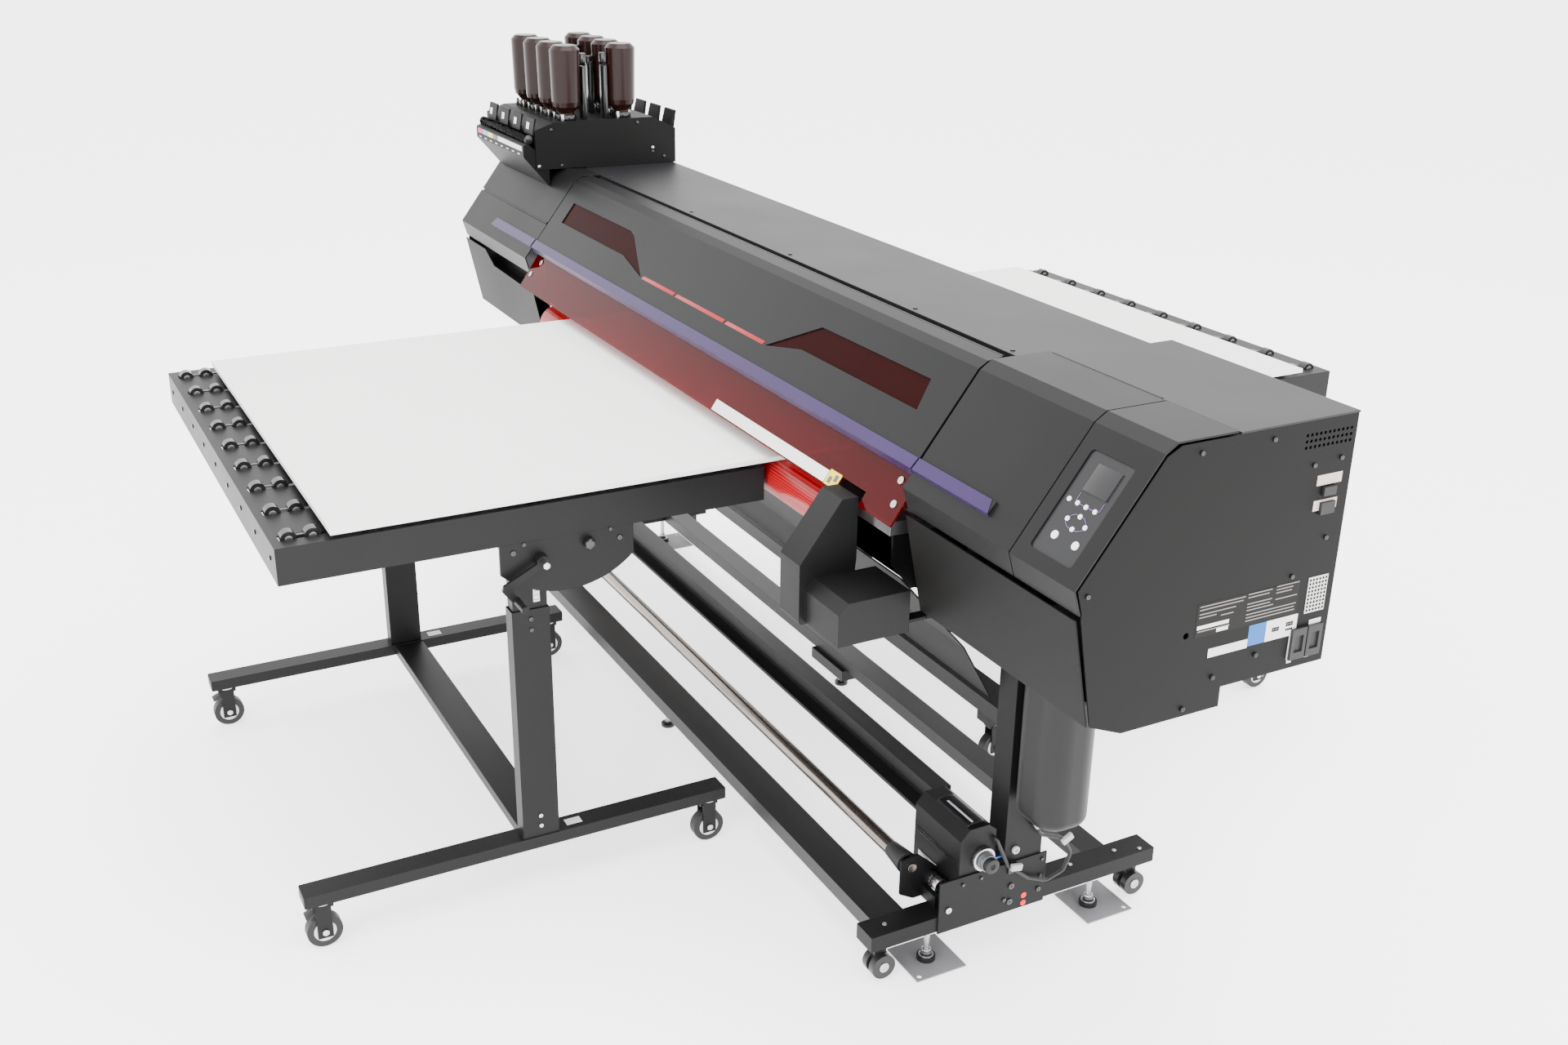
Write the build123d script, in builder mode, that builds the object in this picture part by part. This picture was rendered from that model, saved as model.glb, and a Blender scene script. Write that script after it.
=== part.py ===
from build123d import *
import os
from math import atan2, cos, degrees, hypot, radians, sin

# Flatbed UV printer with a front and a rear roller table, drawn in millimetres.
# +Z is up, +X is the operator's right at the front, +Y points to the back of the machine.
# The origin is on the floor, under the middle of the machine.

# ---------------------------------------------------------------- driving dimensions
body_half = 1569              # half the length of the printer body along X
roof_z = 1285                 # top face of the fixed roof
cover_z = 1288                # top face of the opening covers
sheet = 3                     # cover and panel sheet
seam = 3                      # gap between neighbouring covers
hood_left = -980              # left seam of the hood
hood_right = 1057             # right seam of the hood
control_seam = 1394           # seam between the right cover and the control cover
wing_left = 1091              # where the deeper right wing begins
roof_front_y = -50
roof_rear_y = 235
wing_rear_y = 288
cover_rear_y = 17             # rear edge of the right and control covers
wing_front_y = 24
hood_rear_y = -81
bend_y, bend_z = -133, 1272   # bend between the flat top and the slope
strip_y, strip_z = -253, 1116     # upper edge of the purple strip, on the slope
strip_low_z = 1083
tip_y, tip_z = -290, 1066     # lower front tip of the end covers
lip_y, lip_z = -276, 1020
panel_top_y, panel_top_z = -281, 1012     # leaning lower front panels
panel_low_y, panel_low_z = -238, 808
shade_low_y, shade_low_z = -311, 990
shade_t = 4
handle_end_left = -1327       # left end of the purple strip
handle_end_right = 1302       # right end of the purple strip
groove_y, groove_z = -221, 1160           # joint line across the left cover

table_x = -69                 # middle of the tables and of the stand
table_w = 1230
table_len = 1015
table_near_y = 308            # edge of a table beside the printer
table_z = 940                 # top face of the table plate
skirt = 75
tray_t = 3
wheel_lines = 9               # lines of small wheels along each table
wheels_per_line = 22
wheel_pitch = 45
skate_r = 16
skate_w = 22
link_w, link_h = 8, 8         # carrier that joins the wheels of a line

board_t = 10
board_w = 1220
board_len = 2432
board_x = -49
board_low_z = 955
touch = 0.3                   # running gap between rollers and the board

rail_x = 529                  # table base rails, from the table's middle
rail_w = 54
rail_low_z, rail_top_z = 111, 139
rail_far_y, rail_near_y = 1332, 370
caster_r = 37.5
caster_w = 24
caster_far_y, caster_near_y = 1295, 406
axle_r = 5
running = 0.05                # radial clearance of a shaft in its bore

foot_x = 1150                 # stand feet, from the stand's middle
foot_w = 59
foot_half_y = 363
stand_y = 15
foot_low_z, foot_top_z = 87, 122
leg_d = 94
leg_top_z = 784
plate_t = 3                   # floor plates

platen_z = 953
platen_left, platen_right = -900, 960
platen_front_y = -270
platen_rear_gap = 1           # between the platen and the rear shell
platen_rear_y = roof_rear_y - 2 * sheet - platen_rear_gap
roller_y = -20
drive_r = 20
pinch_r = 12
end_frame_left, end_frame_right = -985, 1062
frame_t = 5

carriage_w = 300
carriage_x = 1230
carriage_front_y, carriage_rear_y = -205, 40
carriage_low_z, carriage_top_z = 1000, 1130

bottle_r = 44
bottle_pitch = 109
bottle_x = -1152
bottle_rows_y = (-85, 87)
bottle_low_z, bottle_top_z = 1446, 1632
ink_left, ink_right = -1544, -1109

bar_r = 17
bar_y, bar_z = -207, 200
bar_left, bar_right = -1150, 1012

os.makedirs("parts", exist_ok=True)


def block(x0, x1, y0, y1, z0, z1, mode=Mode.ADD):
    """A box between two corners, in the active part."""
    with Locations(((x0 + x1) / 2, (y0 + y1) / 2, (z0 + z1) / 2)):
        Box(x1 - x0, y1 - y0, z1 - z0, mode=mode)


def prism(points, x0, x1, mode=Mode.ADD):
    """A (y, z) outline run along X from x0 to x1."""
    with BuildSketch(Plane.YZ.offset(x0)) as outline:
        with BuildLine():
            Polyline(*points, close=True)
        make_face()
    extrude(outline.sketch, amount=x1 - x0, mode=mode)


def folded(points, thickness):
    """The outline of a folded sheet: a (y, z) path and its mitred copy, to the left when positive."""
    sides = []
    for (y0, z0), (y1, z1) in zip(points, points[1:]):
        length = hypot(y1 - y0, z1 - z0)
        sides.append((-(z1 - z0) / length, (y1 - y0) / length))
    copy = []
    for k, (y, z) in enumerate(points):
        before = sides[max(k - 1, 0)]
        after = sides[min(k, len(sides) - 1)]
        scale = thickness / (1 + before[0] * after[0] + before[1] * after[1])
        copy.append((y + (before[0] + after[0]) * scale, z + (before[1] + after[1]) * scale))
    return list(points) + copy[::-1]


def bent_sheet(points, thickness, x0, x1):
    """A folded sheet run along X from x0 to x1."""
    prism(folded(points, thickness), x0, x1)


def rod(x0, x1, y, z, radius, mode=Mode.ADD):
    """A round bar along X."""
    with BuildSketch(Plane.YZ.offset(x0)) as outline:
        with Locations((y, z)):
            Circle(radius)
    extrude(outline.sketch, amount=x1 - x0, mode=mode)


def post(x, y, z0, z1, radius, mode=Mode.ADD):
    """A round bar along Z."""
    with BuildSketch(Plane.XY.offset(z0)) as outline:
        with Locations((x, y)):
            Circle(radius)
    extrude(outline.sketch, amount=z1 - z0, mode=mode)


def span(way, y_a, y_b):
    """A Y range measured outwards from the printer, on the front (-1) or the rear (+1)."""
    return min(way * y_a, way * y_b), max(way * y_a, way * y_b)


def finish(part, name):
    part.label = name
    export_step(part, f"parts/{name}.step")


# ---------------------------------------------------------------- stand
foot_middles = (table_x - foot_x, table_x + foot_x)
outer_plate_y = (-191, 76)
outer_plate_z = (83, 205)

with BuildPart() as stand_frames:
    for middle in foot_middles:
        out = 1 if middle > 0 else -1
        face = middle + out * foot_w / 2
        block(middle - foot_w / 2, middle + foot_w / 2, stand_y - foot_half_y, stand_y + foot_half_y,
              foot_low_z, foot_top_z)
        block(middle - foot_w / 2, middle + foot_w / 2, stand_y - leg_d / 2, stand_y + leg_d / 2,
              foot_top_z, leg_top_z)
        block(min(face, face + out * 4), max(face, face + out * 4), *outer_plate_y, *outer_plate_z)
finish(stand_frames.part, "stand_frames")

inner_left = foot_middles[0] + foot_w / 2
inner_right = foot_middles[1] - foot_w / 2
front_rail_y = (-317, -238)
rear_rail_y = (224, 285)
rail_support_x = (-150, 20)
rear_support_y = 262
front_support_y = -268

with BuildPart() as stand_beams:
    block(inner_left, inner_right, *front_rail_y, foot_low_z, foot_top_z)
    block(inner_left, inner_right, *rear_rail_y, foot_low_z, foot_top_z)
    block(*rail_support_x, rear_rail_y[0] - 12, rear_rail_y[1] - 10, foot_low_z - 30, foot_low_z)
    block(*rail_support_x, front_rail_y[0] + 8, front_rail_y[1] - 8, foot_low_z - 12, foot_low_z)
    block(inner_left, inner_right, stand_y - leg_d / 2, stand_y + leg_d / 2 - 30, 505, 540)
finish(stand_beams.part, "stand_beams")

pad_r = 20
stud_r = 6
foot_pad_y = (stand_y - 209, stand_y + 215)
plate_half = 60
plate_x = (foot_middles[0] + 18, foot_middles[1] - 2)
plate_y = (-191, 246)
anchor_inset = 12
anchor_r = 5.5
twin_r = 27
twin_z = 33
twin_gap = 10
twin_w = 16
twin_inset = 38               # caster axle from the end of the foot

with BuildPart() as stand_feet:
    for middle, base in zip(foot_middles, plate_x):
        for pad_y, mid_y in zip(foot_pad_y, plate_y):
            out_x = 1 if middle > 0 else -1
            out_y = 1 if mid_y > 0 else -1
            with Locations((base, mid_y, plate_t / 2)):
                Box(2 * plate_half, 2 * plate_half, plate_t)
            post(base + out_x * (plate_half - anchor_inset), mid_y + out_y * (plate_half - anchor_inset),
                 0, plate_t, anchor_r, Mode.SUBTRACT)
            post(middle, pad_y, plate_t, plate_t + 10, pad_r)
            post(middle, pad_y, plate_t + 10, plate_t + 18, pad_r * 0.6)
            post(middle, pad_y, plate_t + 18, foot_low_z, stud_r)
    for mid_y, top in ((rear_support_y, foot_low_z - 30), (front_support_y, foot_low_z - 12)):
        post(table_x + 2, mid_y, 0, 8, pad_r - 2)
        post(table_x + 2, mid_y, 8, 14, pad_r * 0.5)
        post(table_x + 2, mid_y, 14, top, stud_r)
    for middle in foot_middles:
        for way in (-1, 1):
            mid_y = stand_y + way * (foot_half_y - twin_inset)
            for side in (-1, 1):
                near, far = middle + side * twin_gap / 2, middle + side * (twin_gap / 2 + twin_w)
                rod(min(near, far), max(near, far), mid_y, twin_z, twin_r)
            block(middle - twin_gap / 2, middle + twin_gap / 2, mid_y - 14, mid_y + 14, twin_z - 8, foot_low_z)
finish(stand_feet.part, "stand_feet")

# ---------------------------------------------------------------- printer body: chassis and panels
pan_low_z, pan_top_z = leg_top_z, 790
pan_front_y = -160
beam_y = (62, 142)
beam_z = (1040, 1160)
slot_z = (943, 988)           # height of the media slot through the rear panel
step_y, step_z = 49, 818      # the underside of the body steps up behind the legs, at both ends
skirt_low_z = 780             # lower edge of the side panels in front of that step

with BuildPart() as chassis:
    block(-body_half + sheet, body_half - sheet, pan_front_y, step_y, pan_low_z, pan_top_z)
    block(end_frame_left, end_frame_right + frame_t, step_y, roof_rear_y - sheet, pan_low_z, pan_top_z)
    for near, far in ((-body_half + sheet, end_frame_left), (end_frame_right + frame_t, body_half - sheet)):
        block(near, far, step_y - sheet, step_y, pan_top_z, step_z)
    block(-body_half + sheet, end_frame_left, step_y - sheet, roof_rear_y - 2 * sheet, step_z, step_z + sheet)
    block(end_frame_right + frame_t, wing_left + sheet, step_y - sheet, roof_rear_y - 2 * sheet,
          step_z, step_z + sheet)
    block(wing_left + sheet, body_half - sheet, step_y - sheet, wing_rear_y - 2 * sheet, step_z, step_z + sheet)
    block(-body_half + 30, body_half - 30, *beam_y, *beam_z)
    for face in (end_frame_left, end_frame_right):
        block(face, face + frame_t, -226, roof_rear_y - 2 * sheet, pan_top_z, 950)
        block(face, face + frame_t, beam_y[0], roof_rear_y - 2 * sheet, 950, roof_z - sheet)
        block(face, face + frame_t, roller_y - 25, roller_y + 25, 950, 992)
        rod(face, face + frame_t, roller_y, board_low_z - touch - drive_r, 8 + running, Mode.SUBTRACT)
        rod(face, face + frame_t, roller_y, board_low_z + board_t + touch + pinch_r, 4 + running, Mode.SUBTRACT)
    for k in range(7):
        rib_x = platen_left + 30 + k * (platen_right - platen_left - 60) / 6
        prism(((-225, platen_z - 28), (-50, platen_z - 28), (-50, pan_top_z), (-180, pan_top_z), (-225, 850)),
              rib_x - 3, rib_x + 3)
        block(rib_x - 3, rib_x + 3, 10, roof_rear_y - 10, pan_top_z, platen_z - 28)
finish(chassis.part, "chassis")

with BuildPart() as platen:
    block(platen_left, platen_right, platen_front_y + 20, roller_y - drive_r - 4, platen_z - 28, platen_z)
    block(platen_left, platen_right, roller_y + drive_r + 4, platen_rear_y, platen_z - 28, platen_z)
    for half in ((platen_front_y + 40, roller_y - drive_r - 20), (roller_y + drive_r + 20, platen_rear_y - 20)):
        with BuildSketch(Plane.XY.offset(platen_z - 4)):
            with Locations(((platen_left + platen_right) / 2, sum(half) / 2)):
                with GridLocations(116, (half[1] - half[0]) / 2, 16, 2):
                    SlotOverall(70, 8)
        extrude(amount=4, mode=Mode.SUBTRACT)
finish(platen.part, "platen")

guide_r = 48
arm_x = (853, 931)            # the drive housing's arm, beside the end of the guide
guide_left = platen_left + 45
guide_right = arm_x[0] - 3
guide_middle_y = platen_front_y + 20
guide_middle_z = platen_z - guide_r

with BuildPart() as platen_guide:
    with BuildSketch(Plane.YZ.offset(guide_left)):
        with Locations((guide_middle_y, guide_middle_z)):
            Circle(guide_r)
            Circle(guide_r - 5, mode=Mode.SUBTRACT)
            with Locations((guide_r, 0)):
                Rectangle(2 * guide_r, 3 * guide_r, mode=Mode.SUBTRACT)
            with Locations((-guide_r * 0.1, -guide_r * 1.3)):
                Rectangle(2 * guide_r, guide_r, mode=Mode.SUBTRACT)
    extrude(amount=guide_right - guide_left)
finish(platen_guide.part, "platen_guide")

drive_box_right = 1060
apron_points = ((-266, 866), (-108, 683), (-36, 556))

with BuildPart() as front_apron:
    bent_sheet(apron_points, sheet, platen_left, drive_box_right - 34)
finish(front_apron.part, "front_apron")

with BuildPart() as top_covers:
    bent_sheet(((roof_rear_y, roof_z - 30), (roof_rear_y, roof_z), (roof_front_y, roof_z),
                (roof_front_y, roof_z - 29)), sheet, -body_half + sheet, hood_right - seam)
    block(-body_half, -body_half + sheet, roof_front_y, roof_rear_y, roof_z - sheet, roof_z)
    block(hood_left + seam, hood_right - seam, roof_front_y - 48, roof_front_y, roof_z - 29, roof_z - 26)
    bent_sheet(((wing_rear_y, roof_z - 30), (wing_rear_y, roof_z), (wing_front_y, roof_z),
                (wing_front_y, roof_z - 30)), sheet, wing_left, body_half - sheet)
    block(body_half - sheet, body_half, wing_front_y, wing_rear_y, roof_z - sheet, roof_z)
    block(hood_right - seam, wing_left, wing_front_y, roof_rear_y, roof_z - sheet, roof_z)
finish(top_covers.part, "top_covers")

rear_low_z = 792
with BuildPart() as rear_shell:
    block(-body_half + sheet, wing_left, roof_rear_y - 2 * sheet, roof_rear_y - sheet,
          rear_low_z, roof_z - sheet)
    block(platen_left - 10, platen_right + 10, roof_rear_y - 3 * sheet, roof_rear_y, *slot_z, Mode.SUBTRACT)
    block(wing_left, wing_left + sheet, roof_rear_y - 2 * sheet, wing_rear_y - sheet,
          rear_low_z, roof_z - sheet)
    block(wing_left, body_half - sheet, wing_rear_y - 2 * sheet, wing_rear_y - sheet,
          step_z, roof_z - sheet)
    prism(((roof_rear_y - sheet, roof_z - sheet), (roof_rear_y - sheet, step_z), (step_y, step_z),
           (step_y, skirt_low_z), (-164, skirt_low_z), (panel_low_y + 2 * sheet, panel_low_z),
           (lip_y + 5, panel_top_z), (lip_y + 6, lip_z + 1), (tip_y + 8, tip_z - 2),
           (bend_y + 2 * sheet, bend_z - 2 * sheet), (-98, cover_z - 7)),
          -body_half, -body_half + sheet)
finish(rear_shell.part, "rear_shell")

grille_middle = (248, 953)
vent_rows = ((167, 1258), (167, 1246), (167, 1234))

with BuildPart() as right_side_panel:
    prism(((wing_rear_y - sheet, roof_z - sheet), (wing_rear_y - sheet, step_z), (step_y, step_z),
           (step_y, skirt_low_z), (-164, skirt_low_z), (panel_low_y + 2 * sheet, panel_low_z),
           (lip_y + 5, panel_top_z), (lip_y + 6, lip_z + 1), (tip_y + 8, tip_z - 2),
           (bend_y + 2 * sheet, bend_z - 2 * sheet), (-98, cover_z - 2 * sheet - 1),
           (cover_rear_y, cover_z - 2 * sheet - 1), (cover_rear_y + 6, roof_z - sheet)),
          body_half - sheet, body_half)
    with BuildSketch(Plane.YZ.offset(body_half - sheet)):
        with Locations(grille_middle):
            with GridLocations(9, 9, 5, 7):
                Circle(2.4)
        with Locations((222, 1246)):
            with GridLocations(10, 11, 11, 3):
                Circle(3)
        with Locations((-44, 935)):
            Circle(6)
    extrude(amount=sheet, mode=Mode.SUBTRACT)
finish(right_side_panel.part, "right_side_panel")

lean = atan2(panel_top_y - panel_low_y, panel_top_z - panel_low_z)
lean_len = hypot(panel_top_y - panel_low_y, panel_top_z - panel_low_z)
panel_plane = Plane(origin=(0, panel_low_y, panel_low_z), x_dir=(1, 0, 0), z_dir=(0, -cos(lean), sin(lean)))
notch_up = 165                # height of the recess sill along the leaning panel

recess_back_y = -228
with BuildPart() as lower_front_panels:
    with BuildSketch(panel_plane):
        with BuildLine():
            Polyline((-body_half + sheet, 0), (-body_half + sheet, lean_len), (-1375, lean_len),
                     (-1325, notch_up), (hood_left, notch_up - 8), (hood_left, 0), close=True)
        make_face()
        with BuildLine():
            Polyline((hood_right + seam, 0), (hood_right + seam, lean_len), (body_half - sheet, lean_len),
                     (body_half - sheet, 0), close=True)
        make_face()
    extrude(amount=-sheet)
    block(-body_half + sheet, hood_left, recess_back_y, recess_back_y + 2, 948, 1118)
    block(-body_half + sheet, hood_left, -266, recess_back_y, 948, 951)
finish(lower_front_panels.part, "lower_front_panels")

# ---------------------------------------------------------------- covers that open, and the fixed end covers
top_run = (-108, cover_z)

slope = atan2(bend_y - strip_y, bend_z - strip_z)
slope_plane = Plane(origin=(0, bend_y, bend_z), x_dir=(1, 0, 0), z_dir=(0, -cos(slope), sin(slope)))
flange_y, flange_z = strip_y + 3, strip_low_z + 2     # foot of the flange behind the strip
strip_outline = ((strip_y, strip_z), (strip_y - sheet * cos(slope), strip_z + sheet * sin(slope)),
                 (-272, 1100), (-264, strip_low_z), (flange_y, flange_z))
hinge_y, hinge_z = -65, 1276
barrel_r = 7
windows = (((-900, -54), (-900, -119), (-451, -120), (-297, -149), (-460, -62), (-491, -54)),
           ((951, -56), (966, -120), (515, -121), (382, -150), (537, -59)))

with BuildPart() as hood:
    bent_sheet(((flange_y, flange_z), (strip_y, strip_z), (bend_y, bend_z), (bend_y + 20, cover_z - 4),
                (hood_rear_y, cover_z)), -sheet, hood_left + seam, hood_right - seam)
    bent_sheet(((hood_rear_y - 2, cover_z - 1), (hood_rear_y - 2, hinge_z), (hinge_y - 6, hinge_z)),
               -2, hood_left + seam + 20, hood_right - seam - 20)
    rod(hood_left + seam + 20, hood_right - seam - 20, hinge_y, hinge_z, barrel_r)
    for end_x in (hood_left + seam + 6, hood_right - seam - 12):
        prism(((strip_y + 2, strip_z), (bend_y + 1, bend_z - 1), (hood_rear_y, cover_z - 2),
               (hood_rear_y, cover_z - 22), (-104, cover_z - 22), (-110, 1240),
               (strip_y + 30, strip_z - 6)), end_x, end_x + 6)
    for window in windows:
        with BuildSketch(slope_plane):
            with BuildLine():
                Polyline(*window, close=True)
            make_face()
        extrude(amount=20, both=True, mode=Mode.SUBTRACT)
finish(hood.part, "hood")

window_rim = 6

with BuildPart() as hood_windows:
    for window in windows:
        with BuildSketch(slope_plane.offset(-sheet)):
            with BuildLine():
                Polyline(*window, close=True)
            make_face()
            offset(amount=window_rim, kind=Kind.INTERSECTION)
        extrude(amount=-shade_t)
finish(hood_windows.part, "hood_windows")

with BuildPart() as hood_strip:
    prism(strip_outline, hood_left + seam, hood_right - seam)
finish(hood_strip.part, "hood_strip")

notch_x = (848, 937)          # clears the drive housing in front of the hood
shade_left, shade_right = hood_left + seam, hood_right - seam
flange_tilt = (flange_y - strip_y) / (strip_z - flange_z)
flange_inner = (flange_y + sheet + 0.1 - flange_tilt * 25, flange_z + 25)

with BuildPart() as uv_shade:
    bent_sheet((flange_inner, (flange_y + sheet + 0.4, flange_z - 2.5), (shade_low_y, shade_low_z)),
               shade_t, shade_left, shade_right)
    block(*notch_x, -330, -240, shade_low_z - 20, shade_low_z + 26, Mode.SUBTRACT)
finish(uv_shade.part, "uv_shade")

end_slope = (bend_z - tip_z) / (bend_y - tip_y)
end_profile = ((lip_y, lip_z), (tip_y, tip_z), (bend_y, bend_z), top_run)

right_hinge_y, right_hinge_z = cover_rear_y + 2.8, cover_z - 2.4
right_barrel_r = 3.2

with BuildPart() as right_cover:
    rod(hood_right + seam + 12, control_seam - seam - 12, right_hinge_y, right_hinge_z, right_barrel_r)
    bent_sheet(end_profile + ((cover_rear_y, cover_z),), -sheet, hood_right + seam, control_seam - seam)
    prism(strip_outline, hood_right + seam, handle_end_right)
finish(right_cover.part, "right_cover")

with BuildPart() as left_cover:
    bent_sheet(end_profile + ((roof_front_y - seam, cover_z - 1),), -sheet, -body_half, hood_left - seam)
    prism(strip_outline, handle_end_left, hood_left - seam)
    prism(((groove_y - 24, groove_z + 3), (groove_y + 16, groove_z + 3), (groove_y + 10, groove_z - 3),
           (groove_y - 29, groove_z - 3)), -body_half - 1, hood_left, Mode.SUBTRACT)
    prism([(bend_y + shift - (bend_z - z) / end_slope, z) for shift, z in
           ((2.5, groove_z + 20), (2.5, groove_z - 22), (9, groove_z - 22), (9, groove_z + 20))],
          -body_half + 10, hood_left - 14)
finish(left_cover.part, "left_cover")

# ---------------------------------------------------------------- control cover, key panel and keys
key_slope = atan2(bend_y - tip_y, bend_z - tip_z)
key_origin = (0, bend_y, bend_z)
key_plane = Plane(origin=key_origin, x_dir=(1, 0, 0), z_dir=(0, -cos(key_slope), sin(key_slope)))
key_x = 1479                  # middle of the key panel
key_w = 110
key_up, key_down = -41, -231  # upper and lower edge of the key panel, down the slope
key_depth = sheet
display_w, display_h = 62, 52
display_mid = -84
key_clear = 0.4
small_r, large_r = 4.5, 7.5
key_height = 6
key_pockets = {"key_select": (1440, -132, small_r), "key_f1": (1462, -132, small_r),
               "key_f2": (1484, -132, small_r), "key_f3": (1507, -132, small_r),
               "key_up": (1485, -150, small_r), "key_left": (1462, -162, small_r),
               "key_right": (1508, -162, small_r), "key_down": (1485, -174, small_r),
               "key_power": (1458, -195, large_r), "key_enter": (1512, -195, large_r)}

with BuildPart() as control_cover:
    bent_sheet(end_profile + ((cover_rear_y, cover_z),), -sheet, control_seam, body_half)
    with BuildSketch(key_plane):
        with Locations((key_x, (key_up + key_down) / 2)):
            RectangleRounded(key_w, key_up - key_down, 8)
    extrude(amount=-10, both=True, mode=Mode.SUBTRACT)
finish(control_cover.part, "control_cover")

with BuildPart() as keypad_panel:
    with BuildSketch(key_plane.offset(-key_depth)):
        with Locations((key_x, (key_up + key_down) / 2)):
            RectangleRounded(key_w + 12, key_up - key_down + 12, 10)
    extrude(amount=-sheet)
    with BuildSketch(key_plane.offset(-key_depth)):
        with Locations((key_x + 7, display_mid)):
            Rectangle(display_w, display_h)
    extrude(amount=1.5)
    with BuildSketch(key_plane.offset(-key_depth)):
        for pocket_x, pocket_s, pocket_r in key_pockets.values():
            with Locations((pocket_x, pocket_s)):
                Circle(pocket_r + key_clear)
    extrude(amount=-sheet, mode=Mode.SUBTRACT)
finish(keypad_panel.part, "keypad_panel")

for key_name, (pocket_x, pocket_s, pocket_r) in key_pockets.items():
    with BuildPart() as key:
        with BuildSketch(key_plane.offset(-key_depth - sheet - 1)):
            with Locations((pocket_x, pocket_s)):
                Circle(pocket_r)
        extrude(amount=key_height)
        fillet(key.edges().filter_by(GeomType.CIRCLE).sort_by(Axis.Z)[-1:], 0.8)
    finish(key.part, key_name)

# ---------------------------------------------------------------- print mechanism
with BuildPart() as guide_rail:
    block(-body_half + 40, body_half - 40, beam_y[0] - 14, beam_y[0], 1052, 1070)
    block(-body_half + 40, body_half - 40, beam_y[0] - 14, beam_y[0], 1128, 1146)
finish(guide_rail.part, "guide_rail")

with BuildPart() as carriage:
    block(carriage_x - carriage_w / 2, carriage_x + carriage_w / 2, carriage_front_y, carriage_rear_y,
          carriage_low_z, carriage_top_z)
    block(carriage_x - carriage_w / 2 - 60, carriage_x - carriage_w / 2, carriage_front_y + 30,
          carriage_rear_y - 60, carriage_low_z + 10, carriage_top_z - 30)
    block(carriage_x - 90, carriage_x + 90, carriage_rear_y, beam_y[0] - 2, 1071, 1127)
    for k in range(4):
        block(carriage_x - 120 + k * 62, carriage_x - 75 + k * 62, carriage_front_y + 25,
              carriage_front_y + 150, carriage_low_z - 4, carriage_low_z)
finish(carriage.part, "carriage")

with BuildPart() as capping_station:
    block(carriage_x - 130, carriage_x + 130, -190, 30, pan_top_z, 930)
    for k in range(4):
        block(carriage_x - 118 + k * 62, carriage_x - 77 + k * 62, carriage_front_y + 30,
              carriage_front_y + 145, 930, carriage_low_z - 8)
finish(capping_station.part, "capping_station")

drive_z = board_low_z - touch - drive_r
with BuildPart() as drive_roller:
    rod(platen_left + 10, platen_right - 10, roller_y, drive_z, drive_r)
    rod(end_frame_left - 8, end_frame_right + frame_t + 8, roller_y, drive_z, 8)
finish(drive_roller.part, "drive_roller")

pinch_z = board_low_z + board_t + touch + pinch_r
with BuildPart() as pinch_rollers:
    rod(end_frame_left - 8, end_frame_right + frame_t + 8, roller_y, pinch_z, 4)
    for k in range(12):
        roll_x = platen_left + 60 + k * (platen_right - platen_left - 160) / 11
        rod(roll_x, roll_x + 40, roller_y, pinch_z, pinch_r)
finish(pinch_rollers.part, "pinch_rollers")

with BuildPart() as media_board:
    block(board_x - board_w / 2, board_x + board_w / 2, -board_len / 2 - 6, board_len / 2 - 6,
          board_low_z, board_low_z + board_t)
finish(media_board.part, "media_board")

# ---------------------------------------------------------------- drive housing in front of the platen
arm_outline = ((-431, 761), (-431, 886), (-341, 1006), (-306, 1006), (-306, 880), (-318, 761))

with BuildPart() as drive_housing:
    prism(arm_outline, *arm_x)
    fillet(drive_housing.edges().filter_by(Axis.X).sort_by(Axis.Z)[:2], 8)
    prism(((-418, 767), (-418, 833), (-397, 854), (-262, 854), (-262, 767)), arm_x[1], drive_box_right)
    block(drive_box_right - 30, drive_box_right - 4, -262, pan_front_y, pan_low_z, pan_top_z)
finish(drive_housing.part, "drive_housing")

# ---------------------------------------------------------------- ink unit
wall = 3
ink_outline = ((-198, cover_z + 1), (-198, 1402), (-142, 1422), (171, 1422), (243, 1386), (243, roof_z),
               (roof_front_y + 4, roof_z), (roof_front_y + 4, cover_z + 1))
with BuildPart() as ink_housing:
    prism(ink_outline, ink_left, ink_right)
    prism(((-198 + wall, 1280), (-198 + wall, 1400), (-140, 1422 - wall), (170, 1422 - wall),
           (243 - wall, 1384), (243 - wall, 1280)), ink_left + wall, ink_right - wall, Mode.SUBTRACT)
finish(ink_housing.part, "ink_housing")

with BuildPart() as ink_front_tray:
    prism(((-198, 1345), (-222, 1366), (-235, 1360), (-235, 1328), (-162, 1242), (-158, 1248),
           (-158, 1289), (-198, 1289)), ink_left + 4, ink_right - 4)
    for k in range(4):
        tab_x = bottle_x - k * bottle_pitch
        prism(((-204, 1387), (-198, 1387), (-198, 1402), (-190, 1434), (-196, 1434)), tab_x - 34, tab_x + 34)
        prism(((232, 1392), (243, 1387), (250, 1436), (243, 1436)), tab_x - 34, tab_x + 34)
finish(ink_front_tray.part, "ink_front_tray")

with BuildPart() as ink_bottles:
    for row_y in bottle_rows_y:
        for k in range(4):
            with BuildSketch(Plane.XZ.offset(-row_y)):
                with BuildLine():
                    middle = bottle_x - k * bottle_pitch
                    Polyline((middle, 1422), (middle + 22, 1422), (middle + 22, 1442),
                             (middle + 30, bottle_low_z + 6), (middle + 38, bottle_low_z + 14),
                             (middle + bottle_r - 3, bottle_low_z + 28), (middle + bottle_r, bottle_top_z - 12),
                             (middle + bottle_r - 12, bottle_top_z), (middle, bottle_top_z), close=True)
                make_face()
            revolve(axis=Axis((middle, row_y, 0), (0, 0, 1)))
finish(ink_bottles.part, "ink_bottles")

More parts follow.
